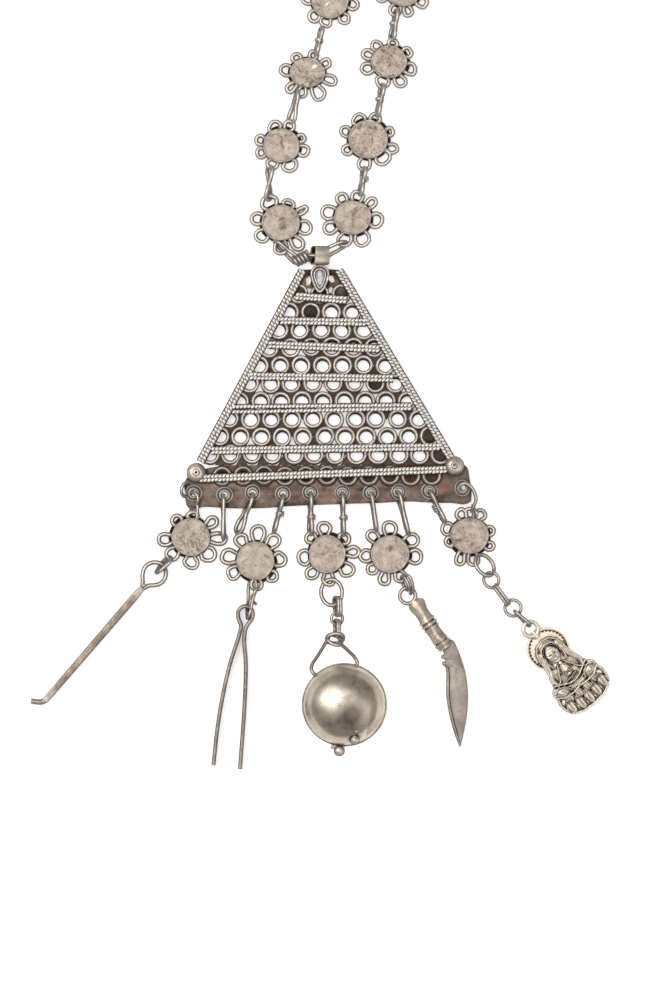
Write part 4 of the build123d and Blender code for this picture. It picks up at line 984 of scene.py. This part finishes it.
for vert in stem.data.vertices:
    share = vert.co.x + 0.5
    wide = 2.3 - 0.4 * share - 0.5 * max(0.0, 0.06 - share) / 0.06
    tall = 2.2 - 0.5 * share
    edge = max(0.0, abs(vert.co.y) - 0.34) * 2.4 if vert.co.z > 0 else 0.0
    spot = stemStart.lerp(stemEnd, share) + stemSide * (vert.co.y * wide / 1000)
    vert.co = (spot.x, spot.y, (vert.co.z * tall + 1.25 - edge) / 1000)
bladeRun = bentWires([([at(46.2, 699.2, 1.2), at(42.0, 702.0, 1.2), at(36.5, 701.9, 1.3),
                        at(30.6, 701.2, 1.5)], 1.7, False)], steps=6)
for vert in bladeRun.data.vertices:
    vert.co.z = 0.00125 + (vert.co.z - 0.00125) * 1.1
scoopAll = joined([dressed(stem, toolSilver), dressed(eye, wireSilver), dressed(bladeRun, toolSilver)])
settled(scoopAll, "ear_scoop_piece", ("ear_scoop",), smooth=50)

# Drop two: a twisted link and the tweezers
twist = [loopRun(at(253.4, 579.6, 1.95), at(247.6, 618.4, 1.95), 3.7, 1.1, 75, 10, 0.8),
         ([at(259.0, 585.0, 2.2), at(254.6, 592.0, 3.2), at(252.0, 600.0, 2.0),
           at(256.5, 604.5, 1.2)], 0.95, False)]
wirePiece("tweezer_link_wire", "tweezer_link", twist)
prongs = [(213.4, 765.0), (217.6, 727.0), (223.4, 692.6), (230.0, 664.0), (239.4, 634.0), (241.0, 626.0),
          (238.0, 616.0), (239.6, 609.0), (245.6, 606.2), (251.6, 609.6), (252.6, 616.5), (246.6, 626.5),
          (244.6, 634.0), (245.8, 664.0), (244.9, 697.5), (240.0, 769.0)]
band = started(bpy.ops.curve.primitive_bezier_curve_add)
band.data.splines.clear()
band.data.dimensions = "2D"
band.data.fill_mode = "NONE"
band.data.resolution_u = 8
band.data.extrude = 0.0013
band.data.bevel_depth = 0.0006
band.data.bevel_resolution = 2
drawLine(band.data, [at(u, v) for u, v in prongs], False)
band.location.z = 0.0018
bpy.ops.object.convert(target="MESH")
applyPlace()
settled(dressed(bpy.context.object, prongSilver), "tweezers_band", ("tweezers",))
print("toilet tools made")

# Drop three: rings, barrel link and the hollow ball
wirePiece("ball_oval_wire", "ball_oval_ring",
          [ringRun(at(331.6, 592.3, 2.9), 7.7, 9.0, direction=-88, roll=12, wire=1.25)], steps=6)
barrel = [loopRun(at(336.0, 597.2, 2.6), at(337.0, 615.4, 2.6), 4.6, 1.15, 25, 15, 1.0),
          loopRun(at(338.8, 597.6, 2.6), at(339.2, 615.0, 2.6), 4.2, 1.15, 20, 20, 1.0)]
wirePiece("ball_barrel_wire", "ball_barrel_link", barrel)
wirePiece("ball_small_wire", "ball_small_ring", [ringRun(at(337.0, 618.6, 2.7), 4.5, 4.3, wire=0.95)])
small = [loopRun(at(336.2, 620.0, 2.9), at(336.4, 636.0, 3.8), 3.4, 1.1, 25, 20, 1.0),
         loopRun(at(338.4, 620.6, 2.9), at(337.8, 635.0, 3.8), 3.2, 1.0, 20, 15, 1.0)]
wirePiece("ball_link_wire", "ball_small_link", small)
ballLook = {"middle": (344.3, 703.6), "across": 12.35, "along": 12.1, "level": 8.5, "tall": 8.4}
dome = started(bpy.ops.mesh.primitive_uv_sphere_add, segments=72, ring_count=40, radius=1)
for vert in dome.data.vertices:
    reach = hypot(vert.co.x, vert.co.y)
    lift = ballLook["tall"] * vert.co.z
    if 0.8 < reach < 0.93 and vert.co.z > 0:
        lift -= 0.16 * sin((reach - 0.8) / 0.13 * pi)
    dent = 0.12 * noise.noise(Vector((vert.co.x * 2.1, vert.co.y * 2.1, vert.co.z * 2.1 + 5)))
    vert.co = at(*ballLook["middle"], ballLook["level"] + lift) + Vector((
        vert.co.x * (ballLook["across"] + dent), vert.co.y * (ballLook["along"] + dent), 0)) / 1000
rim = []
for index in range(18):
    turn = index * pi / 9
    spot = Vector((cos(turn) * 12.36, sin(turn) * 12.1, 0.12 * sin(index * 1.9)))
    rim.append(at(*ballLook["middle"], ballLook["level"]) + spot / 1000)
seam = [(rim, 0.75, True)]
bailWire = [([at(316.5, 674.5, 8.4), at(312.8, 671.5, 8.5), at(311.3, 667.0, 8.2), at(318.0, 655.0, 6.6),
              at(326.0, 642.0, 4.9), at(329.5, 635.5, 4.2)], 1.15, False),
            ([at(353.5, 665.5, 8.5), at(357.0, 663.4, 8.5), at(356.0, 658.8, 8.2), at(349.0, 651.0, 6.6),
              at(341.5, 644.5, 5.0), at(337.0, 641.5, 4.3)], 1.15, False),
            ringRun(at(335.0, 638.2, 4.1), 4.6, 6.3, direction=8, roll=28, wire=1.25),
            ringRun(at(334.2, 639.6, 4.3), 4.2, 5.8, direction=-24, roll=-34, wire=1.2)]
knobs = []
for u, v, level, size in ((354.5, 737.7, 13.2, 1.5), (339.2, 749.4, 8.6, 1.7), (332.4, 745.6, 9.0, 0.6),
                          (356.0, 729.0, 14.2, 0.6)):
    knobs.append(started(bpy.ops.mesh.primitive_uv_sphere_add, segments=24, ring_count=14, radius=size / 1000,
                         location=at(u, v, level)))
    applyPlace()
seam += [ringRun(at(353.6, 733.2, 13.0), 3.6, 3.2, roll=20, wire=0.75),
         ringRun(at(339.6, 744.0, 8.9), 3.6, 3.0, roll=0, wire=0.8)]
ballPiece = joined([dressed(dome, ballSilver), dressed(bentWires(seam, steps=6), ballSilver),
                    dressed(bentWires(bailWire), wireSilver)] + [dressed(knob, gripSilver) for knob in knobs])
settled(ballPiece, "ball_shell", ("ball",), smooth=60)
print("ball made")

# Drop four: a jump ring and the small curved knife
jump = [ringRun(at(405.3, 583.2, 2.2), 3.6, 5.6, direction=-66, roll=58, wire=1.1),
        ([at(402.6, 577.6, 1.6), at(407.5, 575.2, 3.2), at(411.8, 582.4, 3.3), at(412.6, 589.6, 2.6),
          at(410.0, 594.4, 1.3)], 1.1, False)]
wirePiece("knife_jump_wire", "knife_jump_ring", jump)
knife = {"ring": (407.5, 595.7), "blade": [(439.4, 645.6), (446.0, 640.0), (452.6, 640.2), (457.0, 647.6),
                                           (461.6, 659.5), (465.6, 673.0), (467.8, 690.0), (467.9, 705.0),
                                           (466.2, 721.0), (463.6, 734.0), (461.2, 743.6), (460.0, 747.0),
                                           (458.2, 743.6), (454.2, 733.4), (450.6, 720.4), (447.6, 706.0),
                                           (446.2, 693.0), (446.3, 680.0), (446.2, 671.4), (444.8, 666.6),
                                           (442.0, 664.4), (442.4, 662.2), (445.4, 661.4), (445.2, 659.4),
                                           (441.4, 658.2), (441.6, 655.6), (444.0, 654.4), (442.8, 650.6)]}
blade = flatPlate([[at(u, v) for u, v in knife["blade"]]], 0.1, 1.8, edge=0.3)
bevelLine = bentWires([([at(448.6, 667.0, 1.74), at(449.6, 680.0, 1.76), at(449.4, 693.0, 1.76),
                         at(450.8, 706.0, 1.76), at(453.8, 720.0, 1.76), at(457.4, 733.0, 1.76),
                         at(460.2, 743.0, 1.7)], 0.3, False)], steps=5, sides=8)
sections = [  # along the handle: place, half width across, half thickness
    (412.6, 600.4, 1.2, 0.8), (415.4, 602.6, 2.5, 1.2), (416.8, 604.6, 2.8, 1.35), (418.2, 607.2, 2.6, 1.45),
    (421.2, 612.0, 2.15, 1.4), (424.2, 616.4, 2.1, 1.4), (426.0, 619.2, 2.2, 1.4), (426.4, 619.9, 2.65, 1.58),
    (427.6, 621.7, 2.65, 1.58), (427.9, 622.2, 2.1, 1.3), (428.5, 623.0, 2.1, 1.3), (428.8, 623.5, 2.7, 1.58),
    (430.1, 625.4, 2.7, 1.58), (430.4, 625.9, 2.1, 1.3), (430.9, 626.7, 2.1, 1.3), (431.2, 627.2, 2.55, 1.55),
    (431.9, 628.3, 2.45, 1.5), (432.4, 629.2, 2.1, 1.4), (435.4, 633.6, 2.15, 1.4),
    (438.8, 638.2, 2.35, 1.45),
    (440.8, 640.8, 2.5, 1.5), (441.2, 641.3, 2.1, 1.35), (441.7, 642.0, 2.1, 1.35),
    (442.0, 642.4, 2.65, 1.56),
    (443.2, 644.0, 2.65, 1.56), (443.7, 644.9, 2.3, 1.3), (445.6, 648.4, 2.1, 1.0),
]
gripPiece = drum(24, 1, 1)
pickFaces(gripPiece)
for _ in sections[2:]:
    bpy.ops.mesh.extrude_region_move(TRANSFORM_OT_translate={"value": (0, 0, 1)})
gripPiece = leaveEdit()
gripRay = (at(445.6, 648.4) - at(412.6, 600.4)).normalized()
gripSide = leftOf(gripRay)
for vert in gripPiece.data.vertices:
    u, v, wide, tall = sections[round(vert.co.z + 0.5)]
    swell = 1.0 - 0.12 * abs(vert.co.x * vert.co.y) * 2
    rise = Vector((0, 0, vert.co.y * tall * swell))
    vert.co = at(u, v, 1.6) + (gripSide * (vert.co.x * wide * swell) + rise) / 1000
turnOutwards(gripPiece)
eyeRun = bentWires([ringRun(at(*knife["ring"], 1.8), 5.85, 5.85, wire=1.15)], steps=6)
knifeAll = joined([dressed(blade, bladeSilver), dressed(bevelLine, solderAndShadeBrown),
                   dressed(gripPiece, gripSilver), dressed(eyeRun, wireSilver)])
settled(knifeAll, "knife_piece", ("knife",), smooth=45)

# Drop five: rings, a bar link and the seated figure
wirePiece("figure_ring_one", "figure_ring_1",
          [ringRun(at(484.6, 565.2, 2.5), 6.3, 8.2, direction=-52, roll=-24, wire=1.2)], steps=6)
wirePiece("figure_ring_two", "figure_ring_2",
          [ringRun(at(491.3, 580.0, 2.0), 5.5, 5.7, direction=-60, roll=10, wire=1.0)], steps=6)
barRuns = [loopRun(at(494.6 + step * 1.2, 585.6 - step * 1.0, 1.95),
                   at(508.2 + step * 1.2, 604.2 - step * 1.0, 1.95), 3.4, 1.0, 0, 0,
                   1.0) for step in (-0.9, 0.9)]
wirePiece("figure_bar_wire", "figure_bar_link", barRuns)
wirePiece("figure_ring_three", "figure_ring_3",
          [ringRun(at(513.0, 608.0, 1.95), 5.85, 5.85, wire=1.0)], steps=6)
wirePiece("figure_thin_wire", "figure_thin_link",
          [loopRun(at(514.6, 611.0, 1.95), at(529.6, 625.6, 1.95), 3.6, 1.1, 0, 20, 1.0)])

figure = {"loop": (530.6, 629.1), "axis": -48.7, "plate": 1.3, "half": 8.3, "from": 1.8, "long": 27.2,
          "dots": (0.42, 0.62, 0.82, 1.02, 1.22, 1.42, 1.62, 1.82, 2.02)}
figureRay = flatRay(figure["axis"])
figureSide = leftOf(figureRay)


def mound(b, a, midB, midA, halfB, halfA, height, turn=0.0, power=1.0, sink=0.0):
    # a rounded form of the relief, by its middle, half widths, height and turn
    x = b - midB
    y = a - midA
    c = cos(radians(turn))
    s = sin(radians(turn))
    d = ((x * c + y * s) / halfB) ** 2 + ((y * c - x * s) / halfA) ** 2
    return height * (1 - d) ** (0.5 * power) - sink if d < 1 else -1.0


def fold(b, a, points, width, height):
    # a raised fold along a line of places
    best = 9.0
    for (b0, a0), (b1, a1) in zip(points, points[1:]):
        run = (b1 - b0) ** 2 + (a1 - a0) ** 2
        share = max(0.0, min(1.0, ((b - b0) * (b1 - b0) + (a - a0) * (a1 - a0)) / run))
        best = min(best, hypot(b - b0 - share * (b1 - b0), a - a0 - share * (a1 - a0)))
    d = best / width
    return height * sqrt(1 - d * d) if d < 1 else -1.0


# The forms of the relief in millimetres: kind, whether on both sides of the axis, then what the kind takes.
# The first ones are hidden where the face is, the others lie over it.
backForms = [
    (mound, False, 0, 15.4, 4.6, 5.4, 1.5), (mound, False, 0, 13.9, 5.2, 2.9, 1.3),
    (mound, False, 0, 8.9, 3.9, 4.6, 1.7, 0.0, 0.8),  # hood
    (fold, True, [(0.0, 5.9), (1.9, 6.6), (2.9, 8.4), (2.9, 11.0), (2.4, 13.0)], 0.5, 2.15),
    (fold, True, [(0.0, 4.7), (2.2, 5.2), (3.7, 7.0), (4.2, 9.2), (4.2, 11.6), (4.8, 13.6)], 0.4, 1.5),
    (fold, True, [(3.0, 7.5), (3.45, 10.0), (3.5, 12.2), (4.2, 14.2)], 0.9, 1.9),  # veil's fall
    (mound, True, 4.3, 14.4, 0.95, 1.1, 1.75),
]
frontForms = [
    (fold, True, [(0.8, 6.7), (2.1, 7.7), (2.5, 9.7), (2.3, 11.9)], 0.2, 2.1),  # hair
    (fold, False, [(-4.6, 19.0), (-1.5, 18.2), (1.8, 17.5)], 0.28, 2.3),  # lap's folds
    (fold, False, [(-3.4, 20.0), (-0.4, 19.1), (3.2, 18.2)], 0.26, 2.35),
    (fold, True, [(0.6, 12.7), (1.7, 14.4), (2.0, 16.0)], 0.2, 2.1),
    (fold, True, [(4.2, 13.6), (5.1, 15.8), (4.6, 17.8), (2.6, 18.6)], 0.8, 1.9),  # forearm
    (fold, True, [(1.2, 13.0), (2.4, 15.2), (3.4, 17.0), (5.4, 18.4)], 0.42, 2.15),  # robe's edge
    (fold, True, [(0.4, 13.4), (1.1, 15.0), (1.3, 16.6)], 0.4, 1.95),
    (mound, False, 0, 16.9, 1.9, 0.9, 2.2),  # folded hands
    (mound, False, -0.7, 16.2, 0.5, 0.9, 2.5, 25), (mound, False, 0.7, 16.2, 0.5, 0.9, 2.5, -25),
    (fold, True, [(0.0, 19.4), (2.2, 18.9), (4.6, 17.6), (5.8, 17.0)], 0.45, 2.3),
    (fold, True, [(0.0, 20.4), (2.4, 19.9), (4.4, 19.0)], 0.4, 2.2),
    (mound, True, 5.1, 19.8, 2.9, 2.3, 2.2, -24),  # knee
    (mound, True, 5.2, 19.9, 1.9, 1.25, 2.5, -24, 1.0, 0.05),
    (fold, True, [(2.6, 20.9), (3.6, 19.0), (5.4, 18.2), (7.2, 19.0)], 0.35, 2.6),
    (mound, False, 0, 20.4, 5.6, 1.9, 1.75),
    (fold, True, [(0.2, 21.6), (2.6, 21.9), (5.4, 21.6), (7.4, 20.2)], 0.5, 2.2),
    (mound, False, 0, 23.9, 8.2, 4.7, 0.9, 0.0, 0.3),  # lotus base
    (fold, True, [(7.3, 20.6), (7.9, 22.6), (7.4, 25.0)], 0.5, 1.9),
    (fold, True, [(0.0, 28.2), (3.6, 27.9), (6.2, 26.8), (7.4, 25.2)], 0.5, 1.3),
]
leafRows = [
    {"places": (-4.5, -1.5, 1.5, 4.5), "foot": 23.0, "wide": 1.25, "long": 1.5},
    {"places": (-5.8, -2.9, 0.0, 2.9, 5.8), "foot": 25.7, "wide": 1.4, "long": 1.9},
]
leafRim = ((-1, -0.8), (-0.95, 0.1), (-0.5, 0.8), (0, 1.15), (0.5, 0.8), (0.95, 0.1), (1, -0.8))
for row in leafRows:
    for place in row["places"]:
        wide, long = row["wide"], row["long"]
        low = row["foot"] - 0.032 * place * place
        frontForms += [(mound, False, place, low, wide, long * 1.15, 1.85, 0.0, 0.25),
                       (fold, False, [(place + wide * out, low - long * along) for out, along in leafRim],
                        0.25, 2.15), (fold, False,
                                      [(place, low - 0.5 * long), (place, low + 0.7 * long)], 0.34, 2.2)]
# The face's small forms: height, whether on both sides, then middle and half width across and along
faceForms = [
    (0.4, False, 0, 0.3, 10.0, 0.75),  # nose
    (-0.45, True, 0.85, 0.5, 9.45, 0.22),  # closed eyes
    (0.3, False, 0, 0.6, 11.25, 0.25),  # lips
    (-0.22, False, 0, 1.6, 7.7, 0.22),  # hair line
    (-0.3, False, 0, 0.7, 11.75, 0.14), (-0.2, True, 0.8, 0.6, 8.75, 0.16),  # brows
]


haloLook = {"middle": 7.7, "radius": 6.25, "rim": 5.6, "level": 0.25, "raised": 0.35}
# the face's oval and the raised part in it: middle along the axis and half widths
faceOval = {"middle": 9.6, "half": (2.25, 3.0), "level": 1.05, "round": 0.95}
faceInner = {"middle": 9.75, "half": (1.95, 2.6), "raised": 0.28}


def formLevels(forms, b, a):
    return [kind(abs(b) if paired else b, a, *values) for kind, paired, *values in forms]


def reliefHeight(b, a):
    # the figure's height over its plate at a place beside and along its axis; below zero it is cut away
    levels = [-1.0] + formLevels(backForms, b, a)
    halo = hypot(b, a - haloLook["middle"])
    if halo < haloLook["radius"]:
        levels.append(haloLook["level"] + (haloLook["raised"] if halo > haloLook["rim"] else 0.0))
    x = b / faceOval["half"][0]
    y = (a - faceOval["middle"]) / faceOval["half"][1]
    if hypot(x, y) < 1:
        oval = faceOval["level"] + faceOval["round"] * sqrt(max(0.0, 1 - x ** 2 - y ** 2))
        if hypot(b / faceInner["half"][0], (a - faceInner["middle"]) / faceInner["half"][1]) < 1:
            oval += faceInner["raised"]
        for height, paired, midB, halfB, midA, halfA in faceForms:
            beside = (abs(b) if paired else b) - midB
            oval += height * exp(-((beside / halfB) ** 2) - ((a - midA) / halfA) ** 2)
        levels = [oval]
    return max(levels + formLevels(frontForms, b, a))


relief = started(bpy.ops.mesh.primitive_grid_add, x_subdivisions=150, y_subdivisions=236, size=2)
for vert in relief.data.vertices:
    b = vert.co.x * figure["half"]
    a = figure["from"] + (vert.co.y + 1) / 2 * figure["long"]
    vert.co = (b, a, reliefHeight(b, a))
pickFaces(relief, lambda face: min(relief.data.vertices[index].co.z for index in face.vertices) < 0)
bpy.ops.mesh.delete(type="FACE")
bpy.ops.mesh.select_all(action="SELECT")
bpy.ops.mesh.select_mode(type="EDGE")
bpy.ops.mesh.select_all(action="DESELECT")
bpy.ops.mesh.select_non_manifold()
bpy.ops.mesh.extrude_region_move(TRANSFORM_OT_translate={"value": (0, 0, -20)})
relief = leaveEdit()
for vert in relief.data.vertices:
    b, a, level = vert.co
    high = 0.0 if level < -10 else figure["plate"] + level * 1.2
    vert.co = at(*figure["loop"], high) + (figureRay * (a * 1.035) + figureSide * (b * 1.05)) / 1000
turnOutwards(relief, 0.000002)
charmLoop = bentWires([ringRun(at(*figure["loop"], 1.95), 5.85, 5.85, wire=1.35)], steps=6)
neckPlate = bentWires([([at(532.6, 631.6, 1.5), at(537.5, 637.2, 1.5)], 2.4, False)], steps=4)
dots = []
for turn in figure["dots"]:
    for hand in (-1, 1):
        spot = figureRay * (8.0 - 5.6 * cos(turn)) + figureSide * (hand * 5.6 * sin(turn))
        dot = drum(14, 0.00038, 0.0007, location=at(*figure["loop"], 1.42) + spot / 1000)
        applyPlace()
        dots.append(dressed(dot, solderAndShadeBrown))
charm = joined(dots + [dressed(relief, figureSilver), dressed(charmLoop, figureSilver),
                       dressed(neckPlate, figureSilver)])
settled(charm, "figure_relief", ("figure_charm",), smooth=70)
bpy.data.objects.remove(blank)
print("figure made")

# A pale floor, soft studio light and the camera straight above
floor = started(bpy.ops.mesh.primitive_plane_add, size=6, location=(0, 0, -0.00005))
floor.name = "floor"
paper = mottled("paper_floor", 40, (0.0, 1.0), ((0.93, 0.93, 0.93, 1), (0.95, 0.95, 0.95, 1)),
                {"Roughness": 0.9, "Emission Color": (1, 1, 1, 1), "Emission Strength": 0.5,
                 "Specular IOR Level": 0.1})
floor.data.materials.append(paper)

studio = bpy.data.worlds.new("studio")
studio.use_nodes = True
sky = studio.node_tree.nodes["Background"]
sky.inputs["Color"].default_value = (1.0, 1.0, 1.0, 1)
sky.inputs["Strength"].default_value = 0.22
bpy.context.scene.world = studio
lamps = [
    {"name": "key", "at": (-0.55, 0.25, 0.9), "size": 0.7, "power": 6.4},
    {"name": "fill", "at": (0.6, -0.35, 0.8), "size": 0.8, "power": 2.6},
    {"name": "crown", "at": (0.0, 0.1, 1.5), "size": 1.2, "power": 6.2},
]
target = at(photo["u"], photo["v"])
for lamp in lamps:
    light = bpy.data.lights.new(lamp["name"], "AREA")
    light.energy = lamp["power"]
    light.size = lamp["size"]
    holder = bpy.data.objects.new(lamp["name"], light)
    bpy.context.scene.collection.objects.link(holder)
    holder.location = target + Vector(lamp["at"])
    holder.rotation_euler = (target - holder.location).to_track_quat("-Z", "Y").to_euler()
lens = bpy.data.cameras.new("camera")
view = {"height": 1202, "lens": 145.45, "sensor": 36}
lens.sensor_width = view["sensor"]
lens.lens = view["lens"]
lens.clip_start = 0.01
camera = bpy.data.objects.new("camera", lens)
bpy.context.scene.collection.objects.link(camera)
camera.location = at(photo["u"], photo["v"], view["height"])
bpy.context.scene.camera = camera
bpy.context.scene.view_settings.view_transform = "Standard"
print("studio set")
